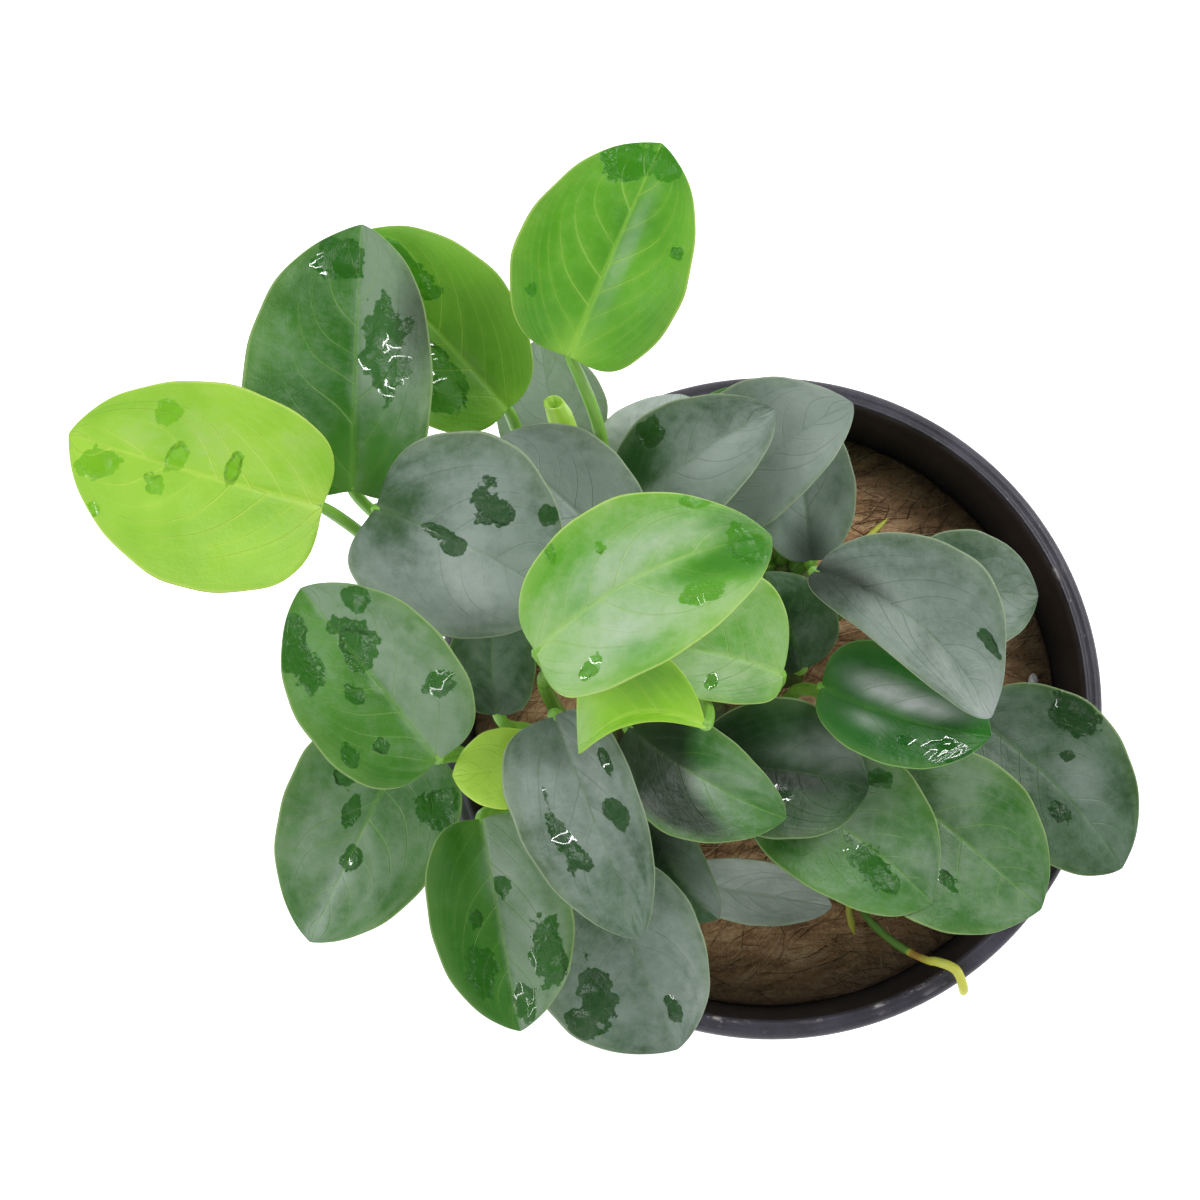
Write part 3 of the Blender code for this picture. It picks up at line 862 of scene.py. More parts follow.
@dataclass(frozen=True)
class Leaf:
    """One leaf, blade and petiole, in the place of its solid.

    The sizes are the solid's own. skin names a finish other than the slot's. The field after skin
    gives the shares of painted grey sheen on the left and the right half, which stand in for the
    lamps' reflection; pale is how strongly a painted white highlight covers the whole blade, and light
    how much lighter the blade is painted than its finish, or darker below 0, partly its own tone and
    partly painted light and shade. sheen (more painted sheen), glare (a painted white highlight), deep
    (painted shade) and damp are patches on the blade: how far along the midrib from 0 to 1, how far
    to its left in millimetres, the radii along and across in millimetres and, for all but damp, a
    strength.
    """

    name: str
    slot: Slot
    habit: Habit
    base: Place
    tip: Place
    width: float
    foot: tuple[Branch, float, float]
    lean: float = 0.0
    sweep: float = 0.0
    roll: float = 0.0
    arch: float = 3.0
    cup: float = 2.5
    bow: Span = (0.0, 0.0)
    skin: Skin | None = None
    # Shares of painted grey sheen on the left and the right half, standing in for the lamps' reflection.
    painted_sheen: Span = (0.4, 0.4)
    sheen: tuple[Spot, ...] = ()
    damp: tuple[Spot, ...] = ()
    deep: tuple[Spot, ...] = ()
    light: float = 0.0
    pale: float = 0.0
    glare: tuple[Spot, ...] = ()
    tip_brown: float = 0.0
    wave: float = 0.5
    rows: int = 60
    half_columns: int = 14
    thickness: float = 0.56
    pucker: float = 0.16
    broad_swell: float = 0.50
    broad_swell_pitch: float = 12.0
    small_swell: float = 0.16
    small_swell_pitch: float = 5.0
    flat_by_rib: float = 4.0
    drift_pitch: float = 15.0
    cloud_pitch: float = 10.0
    small_cloud_pitch: float = 4.0
    groove: float = 0.24
    groove_width: float = 0.9
    pattern_shift: float = 60.0
    ripple: float = 0.012
    fine_ripple: float = 0.006
    foot_radius: float = 1.8
    foot_depth: float = 1.6
    foot_flare: float = 0.30
    foot_flare_share: float = 0.09
    neck_radius: float = 1.25
    petiole_steps: int = 14
    petiole_sides: int = 12

    @property
    def node(self) -> str:
        """Return the name of the leaf's solid."""
        return f"leaf_{self.name}"

    def frame(self) -> tuple[Array, float, Array, Array, Array]:
        """Return the blade's base, length, axis, left side and upward normal."""
        base = np.array(self.base, float)
        axis = np.array(self.tip, float) - base
        length = float(np.linalg.norm(axis))
        axis = axis / length
        side = unit(np.cross((0.0, 0.0, 1.0), axis))
        normal = np.cross(axis, side)
        turn = math.radians(self.roll)
        side, normal = (side * math.cos(turn) + normal * math.sin(turn),
                        normal * math.cos(turn) - side * math.sin(turn))
        return base, length, axis, side, normal

    def surface(self, u: Array, v: Array) -> tuple[Array, Array, Array]:
        """Return the blade's middle surface.

        Args:
            u: from 0 at the base to 1 at the tip.
            v: from -1 at the right margin to 1 at the left one.
        Returns:
            The places, how far along the midrib they are from 0 to 1, and how far to its
            left in millimetres.
        """
        base, length, axis, side, normal = self.frame()
        phi = math.pi * u
        lobe = LOBE_SCALE * self.habit.lobe * length * np.sin(phi) * np.exp(-(phi / LOBE_REACH) ** 2)
        sharp = 1.0 + (self.habit.point - 1.0) * u ** 3
        half = self.width / 2.0 * np.maximum(np.sin(math.pi * u ** self.habit.full), 0.0) ** sharp
        half = half * (1.0 + self.lean * np.sign(v))
        uneven = self.ripple * np.sin(17.0 * u + 3.0 * np.sign(v) + 9.0 * self.seed)
        uneven = uneven + self.fine_ripple * np.sin(41.0 * u + 5.0 * v)
        half = half * (1.0 + uneven * abs(v))
        share = (length * (1.0 - np.cos(phi)) / 2.0 - lobe * abs(v) ** LOBE_SPREAD) / length
        reach = half * v
        spread = abs(reach) * 2.0 / self.width
        lift = 4.0 * self.arch * share * (1.0 - share) + self.cup * spread ** CUP_POWER
        beat = 10.0 * u + 1.7 * (v > 0) + self.seed * math.tau
        lift = lift + self.wave * spread ** 2.5 * np.sin(beat)
        bow = 4.0 * self.sweep * share * (1.0 - share)
        place = (base + (share * length)[..., None] * axis + (reach + bow)[..., None] * side
                 + lift[..., None] * normal)
        return place, share, reach

    @property
    def seed(self) -> float:
        """Return a number from 0 to 1 that is the leaf's own."""
        return (sum(map(ord, self.name)) * 0.37) % 1.0

    def _field(self, spots: tuple[Spot, ...], share: Array, reach: Array) -> Array:
        """Return soft patches added up."""
        length = self.frame()[1]
        total = np.zeros(share.shape)
        for s, y, along, across, strength in spots:
            total += strength * np.exp(-((share - s) * length / along) ** 2 - ((reach - y) / across) ** 2)
        return total

    def _damp_field(self, share: Array, reach: Array) -> Array:
        """Return how far inside the nearest damp patch a place is, 0 at its edge."""
        length = self.frame()[1]
        inside = np.full(share.shape, -1.0)
        for s, y, along, across in self.damp:
            gone = np.sqrt(((share - s) * length / along) ** 2 + ((reach - y) / across) ** 2)
            inside = np.maximum(inside, 1.0 - gone)
        return inside

    def _own(self, place: Array, pitch: float, pattern: Pattern) -> Array:
        """Return lumps over the blade, each leaf with its own cut of the pattern."""
        return lumps(place[..., 0], place[..., 1] + self.pattern_shift * self.seed, pitch, pattern)

    def _relief(self, place: Array, v: Array, reach: Array, turned: Array) -> Array:
        """Return how far the blade swells between its veins and in broad soft lumps."""
        beat = math.tau * (turned * LeafFinish.veins_per_side + LeafFinish.vein_offset * (v > 0))
        puff = (0.5 - 0.5 * np.cos(beat)) * (1.0 - v ** 4) * self.pucker
        swell = self._own(place, self.broad_swell_pitch, Pattern.LEAF_SWELL) * self.broad_swell
        swell += self._own(place, self.small_swell_pitch, Pattern.LEAF_SMALL_SWELL) * self.small_swell
        return (puff + swell) * np.minimum(abs(reach) / self.flat_by_rib, 1.0)

    def _marks(self, place: Array, v: Array, share: Array, reach: Array,
               turned: Array) -> dict[str, Array]:
        """Return the values that the finish reads, painted alike on both faces."""
        ones, zeros = np.ones(v.shape), np.zeros(v.shape)
        # Painted sheen on each half and in its spots, painted shade from the deep spots, and the painted
        # white highlight of pale and glare.
        blend = np.clip(v * 5.0 + 0.5, 0.0, 1.0)
        veil = self.painted_sheen[1] + (self.painted_sheen[0] - self.painted_sheen[1]) * blend
        veil = np.clip(veil + self._field(self.sheen, share, reach), 0.0, 1.0)
        shade = np.clip(self._field(self.deep, share, reach), 0.0, 2.0)
        pale = self.pale + self._field(self.glare, share, reach)
        drift = self._own(place, self.drift_pitch, Pattern.LEAF_DRIFT)
        broad = self._own(place, self.cloud_pitch, Pattern.LEAF_BROAD) * 0.75
        broad += self._own(place, self.small_cloud_pitch, Pattern.LEAF_SMALL) * 0.25
        outward = abs(v) * 5.0 + 20.0 * self.seed + 9.0 * (v > 0)
        streak = lumps(turned * 14.0, outward, 1.0, Pattern.LEAF_STREAK)
        return {"plan": np.stack([share, reach, 0.5 + 0.5 * drift], -1),
                "dress": np.stack([veil, self._damp_field(share, reach), shade], -1),
                "tone": np.stack([ones * self.light, ones * self.tip_brown, pale], -1),
                "cloud": np.stack([0.5 + 0.5 * broad, 0.5 + 0.4 * streak, zeros], -1)}

    def blade(self, shell: Shell) -> None:
        """Loft the blade: both faces, with a groove, a pucker between veins and thin margins."""
        steps = np.linspace(0.0, 1.0, self.half_columns + 1)
        half = (1.0 - np.cos(math.pi * steps)) / 2.0
        across = np.concatenate([-half[::-1], half[1:]])
        u, v = np.meshgrid(np.arange(1, self.rows) / self.rows, across, indexing="ij")
        place, share, reach = self.surface(u, v)
        normal = unit(np.cross(np.gradient(place, axis=0), np.gradient(place, axis=1)))
        turned = share - LeafFinish.vein_start * abs(v) - LeafFinish.vein_curve * abs(v) ** 4
        puff = self._relief(place, v, reach, turned)
        groove = self.groove * np.exp(-(reach / self.groove_width) ** 2)
        groove = groove * (1.0 - np.clip(share, 0.0, 1.0))
        thick = self.thickness / 2.0 * np.sqrt(1.0 - 0.999 * v ** 8)
        top = place + normal * (thick + puff - groove)[..., None]
        bottom = place - normal * (thick - puff)[..., None]

        def round_about(upper: Array, lower: Array) -> Array:
            """Return the values of a whole ring, over the top and back below."""
            return np.concatenate([upper, lower[:, -2:0:-1]], axis=1)

        faces = [np.stack([u, v, np.full(u.shape, is_top)], -1) for is_top in (1.0, 0.0)]
        marks = self._marks(place, v, share, reach, turned)
        shell.loft(round_about(top, bottom), 0, blade=round_about(*faces),
                   **{key: round_about(value, value) for key, value in marks.items()})

    def _rise(self, normal: Array) -> tuple[Array, Array]:
        """Return the petiole's course from the rhizome to the blade, and its radii."""
        start, outward = Rhizome.foot(self.foot)
        neck = self.surface(np.array([0.0]), np.array([0.0]))[0][0]
        end = neck - normal * (0.4 + 0.6 * self.neck_radius)
        flat = np.array((end[0] - start[0], end[1] - start[1], 0.0))
        heading = unit(np.array((self.tip[0] - self.base[0], self.tip[1] - self.base[1], 0.0)))
        span = np.linalg.norm(end - start)
        arrive = unit(0.5 * flat / span + 0.25 * heading + np.array((0.0, 0.0, 0.75)))
        near = start + 0.35 * span * outward
        far = end - 0.3 * span * arrive + np.array((*self.bow, 0.0))
        t = np.linspace(0.0, 0.95, self.petiole_steps)[:, None]
        s = 1.0 - t
        rise = s ** 3 * start + 3 * s * s * t * near + 3 * s * t * t * far + t ** 3 * end
        rise[0] = start - outward * self.foot_depth
        radii = self.foot_radius + (self.neck_radius - self.foot_radius) * t[:, 0] ** 0.5
        return rise, radii * (1.0 + self.foot_flare * np.exp(-(t[:, 0] / self.foot_flare_share) ** 2))

    def petiole(self, shell: Shell) -> None:
        """Loft the petiole: out of the rhizome, up to the blade and along under its midrib."""
        normal = self.frame()[4]
        rise, radii = self._rise(normal)
        stations, widths = np.array(RIB_STATIONS), np.array(RIB_RADII)
        place, _, _ = self.surface(stations, np.zeros(len(stations)))
        rib = place - normal * (widths + RIB_CLEARANCE)[:, None]
        path = smooth_path(np.vstack([rise, rib]), 3)
        knots = np.linspace(0.0, 1.0, len(rise) + len(rib))
        widths = np.interp(np.linspace(0.0, 1.0, len(path)), knots, np.concatenate([radii, widths]))
        rings, where = tube_rings(path, widths, self.petiole_sides)
        shell.loft(rings, 1, tube=where)

    def build(self, skin: bpy.types.Material, stalk: bpy.types.Material) -> None:
        """Make the leaf."""
        shell = Shell(f"{self.name}_leaf", "blade", "plan", "dress", "tone", "cloud", "tube")
        self.blade(shell)
        self.petiole(shell)
        seat(shell.finish([skin, stalk]), self.slot, self.node)


@dataclass(frozen=True)
class Rhizome:
    """The creeping rhizome, split at its forks like its solids."""

    radius: float = 5.0
    taper: float = 0.35
    knob_height: float = 0.07
    knob_pitch: float = 46.0
    foot_lean: float = 45.0
    foot_clearance: float = 1.1
    sides: int = 20
    samples: int = 24
    scar_spacing: float = 5.5
    knobs: float = 0.16

    BRANCHES = {
        Branch.MAIN: [(-52, -22), (-45, -13), (-34, -5), (-18, -2), (0, -6), (18, -5), (34, 2)],
        Branch.BACK: [(-36, 6), (-42, 15), (-42, 28), (-34, 38), (-22, 42)],
        Branch.FRONT: [(-21, -12), (-24, -22), (-31, -32), (-30, -44)],
        Branch.RIGHT: [(2, 5), (7, 14), (8, 25), (2, 34)],
    }

    @classmethod
    def radius_at(cls, share: Union[float, Array]) -> Union[float, Array]:
        """Return the knobbly radius at a fraction of a branch's length."""
        ends = 1.0 - cls.taper * abs(2.0 * share - 1.0) ** 4
        return cls.radius * ends * (1.0 + cls.knob_height * (np.cos(share * cls.knob_pitch) - 1.0))

    @classmethod
    def path(cls, branch: Branch, samples: int = 3) -> Array:
        """Return the centre line of a branch, resting on the medium."""
        plan = smooth_path(cls.BRANCHES[branch], samples)
        height = medium_top(plan[:, 0], plan[:, 1]) + cls.radius + 2 * GAP
        return np.column_stack([plan, height])

    @classmethod
    def foot(cls, foot: tuple[Branch, float, float]) -> tuple[Array, Array]:
        """Return where a petiole starts and which way it leaves.

        Args:
            foot: the branch, a fraction of its length and a side from -1 to 1.
        Returns:
            The place and the direction.
        """
        branch, share, side = foot
        path = cls.path(branch)
        place = share * (len(path) - 1)
        index = min(int(place), len(path) - 2)
        spot = path[index] + (path[index + 1] - path[index]) * (place - index)
        along = unit(path[index + 1] - path[index])
        left = np.cross((0.0, 0.0, 1.0), along)
        angle = math.radians(cls.foot_lean * side)
        outward = left * math.sin(angle) + np.array((0.0, 0.0, 1.0)) * math.cos(angle)
        return spot + outward * (cls.radius_at(share) + cls.foot_clearance), outward

    def build(self) -> None:
        """Make each branch, ringed with leaf scars."""
        skin = RhizomeFinish().make()
        for branch in self.BRANCHES:
            path = self.path(branch, self.samples)
            share = np.linspace(0.0, 1.0, len(path))
            length = np.linalg.norm(np.diff(path, axis=0), axis=1).sum()
            beat = np.cos(share * length / self.scar_spacing * math.tau)
            scar = np.clip(beat * 3.0 - 2.0, 0.0, 1.0)
            ends = np.clip(np.minimum(share, 1.0 - share) * 14.0, 0.05, 1.0) ** 0.5
            radii = self.radius_at(share) * ends * (1.0 - 0.05 * scar + 0.02 * beat)
            rings, where = tube_rings(path, radii, self.sides)
            knobs = lumps(rings[..., 0] * 3 + rings[..., 2], rings[..., 1] * 3, 5.0, Pattern.RHIZOME)
            rings += knobs[..., None] * self.knobs
            where[..., 2] = scar[:, None]
            shell = Shell(f"{branch.value}_rhizome", "tube")
            shell.loft(rings, 0, tube=where)
            seat(shell.finish([skin]), Slot.RHIZOME, f"rhizome_{branch.value}")


@dataclass(frozen=True)
class Pot:
    """The nursery pot: a thin tapered wall, a rolled lip with a fine ridge, and drain holes."""

    steps: int = 192
    floor: float = 2.0
    foot_round: float = 2.0
    drains: int = 8
    drain_radius: float = 4.0
    drain_ring: float = 42.0
    shaded_below: float = 97.0
    edge_wear: float = 0.8
    foot_wear: float = 2.0
    inner_heights: tuple[float, ...] = (5.0, 30.0, 60.0, 80.0, 92.0)
    outer_heights: tuple[float, ...] = (91.5, 91.0, 88.0, 60.0, 30.0, 6.0, 3.0)
    lip_inside: tuple[Span, ...] = ((0.0, 95.0), (0.0, 98.6), (0.15, 99.4), (0.55, 99.9), (0.95, 99.85),
                                    (1.2, 99.45), (1.6, 99.3), (2.3, 99.45), (2.8, 99.5))
    lip_outside: tuple[Span, ...] = ((-1.0, 99.3), (-0.45, 98.9), (-0.12, 98.2), (0.0, 97.2),
                                     (0.0, 93.9), (-0.15, 93.3), (-0.6, 93.0), (-2.6, 93.0))

    def profile(self) -> list[Span]:
        """Return the outline from the middle of the floor, over the lip, to the middle of the foot."""
        inner = outer_radius(self.floor) - POT_WALL
        wall = POT_RIM_RADIUS - POT_LIP_WIDTH
        points = [(0.6, self.floor), (30.0, self.floor), (inner - 2.0, self.floor)]
        points += [(inner - 0.5, self.floor + 0.5)]
        points += [(outer_radius(z) - POT_WALL, z) for z in self.inner_heights]
        points += [(wall + out, z) for out, z in self.lip_inside]
        points += [(POT_RIM_RADIUS + out, z) for out, z in self.lip_outside]
        points += [(outer_radius(92.0) + 0.25, 92.7)]
        points += [(outer_radius(z), z) for z in self.outer_heights]
        for angle in (-20, -45, -70, -90):
            turn = math.radians(angle)
            points.append((POT_FOOT_RADIUS - self.foot_round + self.foot_round * math.cos(turn),
                           self.foot_round + self.foot_round * math.sin(turn)))
        points += [(45.0, 0.0), (20.0, 0.0), (0.6, 0.0)]
        return points

    def _drill(self, pot: bpy.types.Object) -> None:
        """Cut the drain holes through the floor."""
        mesh = bpy.data.meshes.new("drains")
        shape = bmesh.new()
        for index in range(self.drains):
            angle = math.tau * (index + 0.5) / self.drains
            radius = self.drain_radius * MM
            made = bmesh.ops.create_cone(shape, cap_ends=True, segments=40, radius1=radius,
                                         radius2=radius, depth=4 * self.floor * MM)
            shift = (self.drain_ring * math.cos(angle) * MM, self.drain_ring * math.sin(angle) * MM, 0.0)
            bmesh.ops.translate(shape, verts=made["verts"], vec=shift)
        shape.to_mesh(mesh)
        shape.free()
        cutter = bpy.data.objects.new("drains", mesh)
        bpy.context.scene.collection.objects.link(cutter)
        cut = pot.modifiers.new("drains", "BOOLEAN")
        cut.operation = "DIFFERENCE"
        cut.object = cutter
        graph = bpy.context.evaluated_depsgraph_get()
        result = bpy.data.meshes.new_from_object(pot.evaluated_get(graph))
        pot.modifiers.clear()
        pot.data = result
        bpy.data.objects.remove(cutter, do_unlink=True)

    def build(self) -> None:
        """Make the pot."""
        outline = np.array(self.profile())
        angles = np.linspace(0.0, math.tau, self.steps, endpoint=False)
        radius, height = outline[:, 0][:, None], outline[:, 1][:, None]
        rings = np.stack([radius * np.cos(angles), radius * np.sin(angles), height + 0.0 * angles], -1)
        z = rings[..., 2]
        wear = np.exp(-((z - POT_HEIGHT) / self.edge_wear) ** 2)
        wear = np.maximum(wear, 0.5 * np.exp(-(z / self.foot_wear) ** 2))
        # Mark the inner wall below the lip for painted shade.
        within = np.hypot(rings[..., 0], rings[..., 1]) < outer_radius(z) - POT_WALL / 2.0
        inside = np.where(within & (z > self.floor - 0.1) & (z < self.shaded_below), 1.0, 0.0)
        shell = Shell("nursery_pot", "wear")
        shell.loft(rings, 0, wear=np.stack([wear, inside, 0 * wear], -1))
        pot = shell.finish([PotFinish().make()])
        self._drill(pot)
        pot.data.set_sharp_from_angle(angle=math.radians(50))
        seat(pot, Slot.POT, "pot")


@dataclass(frozen=True)
class Medium:
    """The block of matted fibre: a lumpy body and the loose strands over its top."""

    depth_below_rim: float = 21.0
    dome: float = 1.5
    rings: int = 70
    steps: int = 200
    strands: int = 5200
    strand_points: int = 6
    strand_field: float = 64.0
    strand_reach: float = 64.6
    strand_length: Span = (4.0, 15.0)
    strand_radius: Span = (0.05, 0.12)
    lay: float = 0.25
    lay_pitch: float = 22.0
    lay_drift: float = 0.9
    lay_spread: float = 0.38
    side_heights: tuple[float, ...] = (77.0, 60.0, 30.0)
    under_shares: tuple[float, ...] = (0.85, 0.4, 0.05)
    grain_at: Span = (60.5, 6.5)
    grain_lift: float = 0.9
    grain_radii: Place = (1.2, 2.0, 1.2)
    grain_dents: float = 0.10
    body_finish: CoirFinish = CoirFinish("coir_body", False, dark=tint(60, 40, 27),
                                         mid=tint(190, 147, 108), pale=tint(255, 222, 184))
    strand_finish: CoirFinish = CoirFinish("coir_strand", True, dark=tint(88, 60, 42),
                                           mid=tint(206, 164, 122), pale=tint(255, 228, 190))
    # Where the painted shade by the wall begins, and over how many millimetres it grows full.
    shade_from: float = 50.0
    shade_width: float = 15.0

    def height(self, x: Array, y: Array) -> Array:
        """Return the lumpy height of the top."""
        bump = lumps(x, y, 11.0, Pattern.MEDIUM_BROAD) * 0.55
        bump = bump + lumps(x, y, 4.5, Pattern.MEDIUM_MIDDLE) * 0.35
        bump = bump + lumps(x, y, 1.7, Pattern.MEDIUM_FINE) * 0.22
        return medium_top(x, y) + bump

    def _wall_shade(self, places: Array) -> Array:
        """Return how near the wall each place is, from 0 to 1, for the painted shade there."""
        far = np.hypot(places[..., 0], places[..., 1])
        return np.clip((far - self.shade_from) / self.shade_width, 0.0, 1.0)

    def body(self) -> None:
        """Make the block."""
        angles = np.linspace(0.0, math.tau, self.steps, endpoint=False)
        foot = Pot.floor + GAP

        def ring(radius: float, z: float) -> Array:
            """Return one level ring of the block."""
            return np.stack([radius * np.cos(angles), radius * np.sin(angles), 0 * angles + z], -1)[None]

        def side(z: float) -> float:
            """Return the block's radius at a height."""
            return outer_radius(z) - POT_WALL - GAP

        radii = np.linspace(0.5, side(POT_HEIGHT - self.depth_below_rim), self.rings)[:, None]
        x, y = radii * np.cos(angles), radii * np.sin(angles)
        rows = [np.stack([x, y, self.height(x, y)], -1)]
        rows += [ring(side(z), z) for z in (*self.side_heights, foot)]
        rows += [ring(share * side(foot), foot) for share in self.under_shares]
        rings = np.concatenate(rows)
        edge = self._wall_shade(rings)
        shell = Shell("fibre_block", "fibre")
        shell.loft(rings, 0, fibre=np.stack([edge * 0 + 0.5, edge, edge * 0], -1))
        seat(shell.finish([self.body_finish.make()]), Slot.MEDIUM, "growing_medium")

    def _strand_paths(self, rng: np.random.Generator) -> tuple[Array, Array]:
        """Return the strands' centre lines and their radii along them."""
        count, points = self.strands, self.strand_points
        radius = self.strand_field * np.sqrt(rng.uniform(0.0, 1.0, count))
        angle = rng.uniform(0.0, math.tau, count)
        x, y = radius * np.cos(angle), radius * np.sin(angle)
        heading = self.lay + lumps(x, y, self.lay_pitch, Pattern.STRAND_LAY) * self.lay_drift
        heading = heading + rng.normal(0.0, self.lay_spread, count)
        bend = rng.normal(0.0, 0.28, (count, points)).cumsum(axis=1) * 0.5
        bend = bend + rng.normal(0.0, 0.12, count)[:, None]
        length = rng.uniform(*self.strand_length, count)
        turn = heading[:, None] + bend
        step = (length / (points - 1))[:, None]
        px = x[:, None] + np.cumsum(np.cos(turn) * step, axis=1)
        py = y[:, None] + np.cumsum(np.sin(turn) * step, axis=1)
        shrink = np.minimum(1.0, self.strand_reach / np.maximum(np.hypot(px, py), 1e-6))
        px, py = px * shrink, py * shrink
        share = np.linspace(0.0, 1.0, points)[None]
        lift = rng.gamma(1.6, 0.28, count)[:, None] * np.sin(math.pi * share) - 0.12
        paths = np.stack([px, py, self.height(px, py) + lift], -1)
        radii = rng.uniform(*self.strand_radius, count)[:, None]
        return paths, radii * (1.0 - 0.6 * abs(2.0 * share - 1.0) ** 3)

    def _strand_faces(self) -> list[list[int]]:
        """Return the faces of every three-sided strand, both ends closed."""
        faces = []
        for strand in range(self.strands):
            low = strand * self.strand_points * 3
            last = low + (self.strand_points - 1) * 3
            faces.append([low, low + 1, low + 2])
            for a in range(low, last, 3):
                for k in range(3):
                    after = (k + 1) % 3
                    faces.append([a + k, a + k + 3, a + after + 3, a + after])
            faces.append([last + 2, last + 1, last])
        return faces

    def loose_strands(self) -> None:
        """Lay the strands: short bent fibres that rise from the top and dip back into it."""
        rng = np.random.default_rng(int(Pattern.STRANDS))
        paths, radii = self._strand_paths(rng)
        side = unit(np.cross(unit(np.gradient(paths, axis=1)), (0.0, 0.0, 1.0)))
        above = np.cross(side, unit(np.gradient(paths, axis=1)))
        corners = []
        for turn in (math.radians(90.0), math.radians(210.0), math.radians(330.0)):
            corners.append(paths + (side * math.cos(turn) + above * math.sin(turn)) * radii[..., None])
        verts = np.stack(corners, 2).reshape(-1, 3)
        tone = np.repeat(rng.uniform(0.0, 1.0, self.strands), self.strand_points * 3)
        edge = self._wall_shade(verts)
        shell = Shell("fibre_strands", "fibre")
        shell.add(verts, self._strand_faces(), 0, fibre=np.column_stack([tone, edge, edge * 0]))
        seat(shell.finish([self.strand_finish.make()]), Slot.MEDIUM)

    def grain(self) -> None:
        """Make the white grain that lies by the wall."""
        shape = bmesh.new()
        bmesh.ops.create_icosphere(shape, subdivisions=4, radius=1.0)
        x, y = self.grain_at
        spot = np.array((x, y, float(self.height(np.array(x), np.array(y))) + self.grain_lift))
        points = np.array([vertex.co[:] for vertex in shape.verts])
        dents = lumps(points[:, 0] * 9 + points[:, 2] * 5, points[:, 1] * 9, 6.0, Pattern.GRAIN)
        rough = 1.0 + self.grain_dents * dents
        faces = [[vertex.index for vertex in face.verts] for face in shape.faces]
        shape.free()
        shell = Shell("white_grain")
        shell.add(spot + points * rough[:, None] * np.array(self.grain_radii), faces)
        seat(shell.finish([GrainFinish().make()]), Slot.MEDIUM)

    def build(self) -> None:
        """Make the block, its strands and the grain."""
        self.body()
        self.loose_strands()
        self.grain()


@dataclass(frozen=True)
class Strand:
    """A loose root or stem on its own route."""

    name: str
    node: str
    green_until: float
    radii: tuple[float, ...]
    route: tuple[Place, ...]
    unevenness: float = 0.06

    def tube(self) -> tuple[Array, Array]:
        """Return the smoothed route and the radius at each of its points."""
        path = smooth_path(self.route, 8)
        places = np.linspace(0.0, len(self.radii) - 1.0, len(path))
        return path, np.interp(places, range(len(self.radii)), self.radii)

    def build(self) -> None:
        """Make the root, its far end rounded."""
        path, radii = self.tube()
        end = np.clip((1.0 - np.linspace(0.0, 1.0, len(path))) * len(path) / 4.0, 0.04, 1.0) ** 0.5
        rings, where = tube_rings(path, radii * end, 14)
        uneven = lumps(rings[..., 0] * 4, rings[..., 1] * 4 + rings[..., 2] * 3, 6.0, Pattern.ROOT)
        rings += uneven[..., None] * self.unevenness
        shell = Shell(self.name, "tube")
        shell.loft(rings, 0, tube=where)
        skin = RootFinish(f"{self.name}_skin", self.green_until)
        seat(shell.finish([skin.make()]), Slot.ROOT, self.node)


@dataclass(frozen=True)
class YoungLeaf(Strand):
    """A new leaf, still rolled, with an open mouth at its end."""

    mouth_depth: float = 2.4
    mouth_slant: float = 0.35
    mouth_slope: Place = (0.3, 1.0, 0.0)
    mouth_rings: tuple[Span, ...] = ((0.0, 0.8), (0.5, 0.68), (1.0, 0.5))

    def build(self) -> None:
        """Make the rolled leaf on its stalk."""
        path, radii = self.tube()
        rings, where = tube_rings(path, radii, 24)
        middle = rings[-1].mean(axis=0)
        down = unit(path[-2] - path[-1])
        slope = unit(np.cross(down, self.mouth_slope))
        slant = ((rings - middle) @ slope)[..., None] * down * self.mouth_slant
        near_end = np.clip(np.linspace(-3.0, 1.0, len(path)), 0.0, 1.0)[:, None, None]
        rings = rings + slant * near_end
        inner = []
        for depth, share in self.mouth_rings:
            inner.append(middle + (rings[-1] - middle) * share + down * self.mouth_depth * depth)
        rings = np.concatenate([rings, np.array(inner)])
        where = np.concatenate([where, np.repeat(where[-1:], len(inner), axis=0)])
        shell = Shell(self.name, "tube")
        shell.loft(rings, 0, tube=where)
        skin = StalkFinish("young_leaf_skin", tint(120, 170, 50), tint(168, 214, 70), tint(206, 232, 140))
        seat(shell.finish([skin.make()]), Slot.FRESH, self.node)


STRANDS = (
    Strand("curled_root", "root_over_rim", 0.70,
           (0.8, 0.8, 0.8, 0.85, 0.85, 0.85, 1.0, 1.05, 1.05, 0.9),
           ((12, -13.5, 84.5), (13, -24, 83), (17.5, -37, 84), (22, -46.6, 88), (28, -52.5, 93),
            (33, -55.5, 97.5), (35.3, -56, 100.6), (38.9, -57.6, 102.4), (40.5, -61, 101.8),
            (41, -63, 98.5))),
    Strand("front_root", "root_front", -0.2, (0.7, 0.8, 0.8),
           ((18, -41, 82.5), (18.3, -45.5, 82.2), (19.3, -49.8, 81.8))),
    Strand("back_root", "root_back", -0.2, (0.6, 0.7, 0.7),
           ((18, 34, 84), (23, 38.7, 83), (28, 43.5, 82))),
    YoungLeaf("rolled_young_leaf", "young_leaf_rolled", 0.0, (1.3, 1.3, 1.3, 1.3, 1.8, 2.6, 2.6, 2.0),
              ((-34.5, 43.5, 90), (-37, 44.5, 98), (-41, 45, 110), (-43, 47, 122), (-43.5, 49.5, 131),
               (-44, 52, 137), (-45.3, 54.8, 141.5), (-46.5, 57, 144))),
)
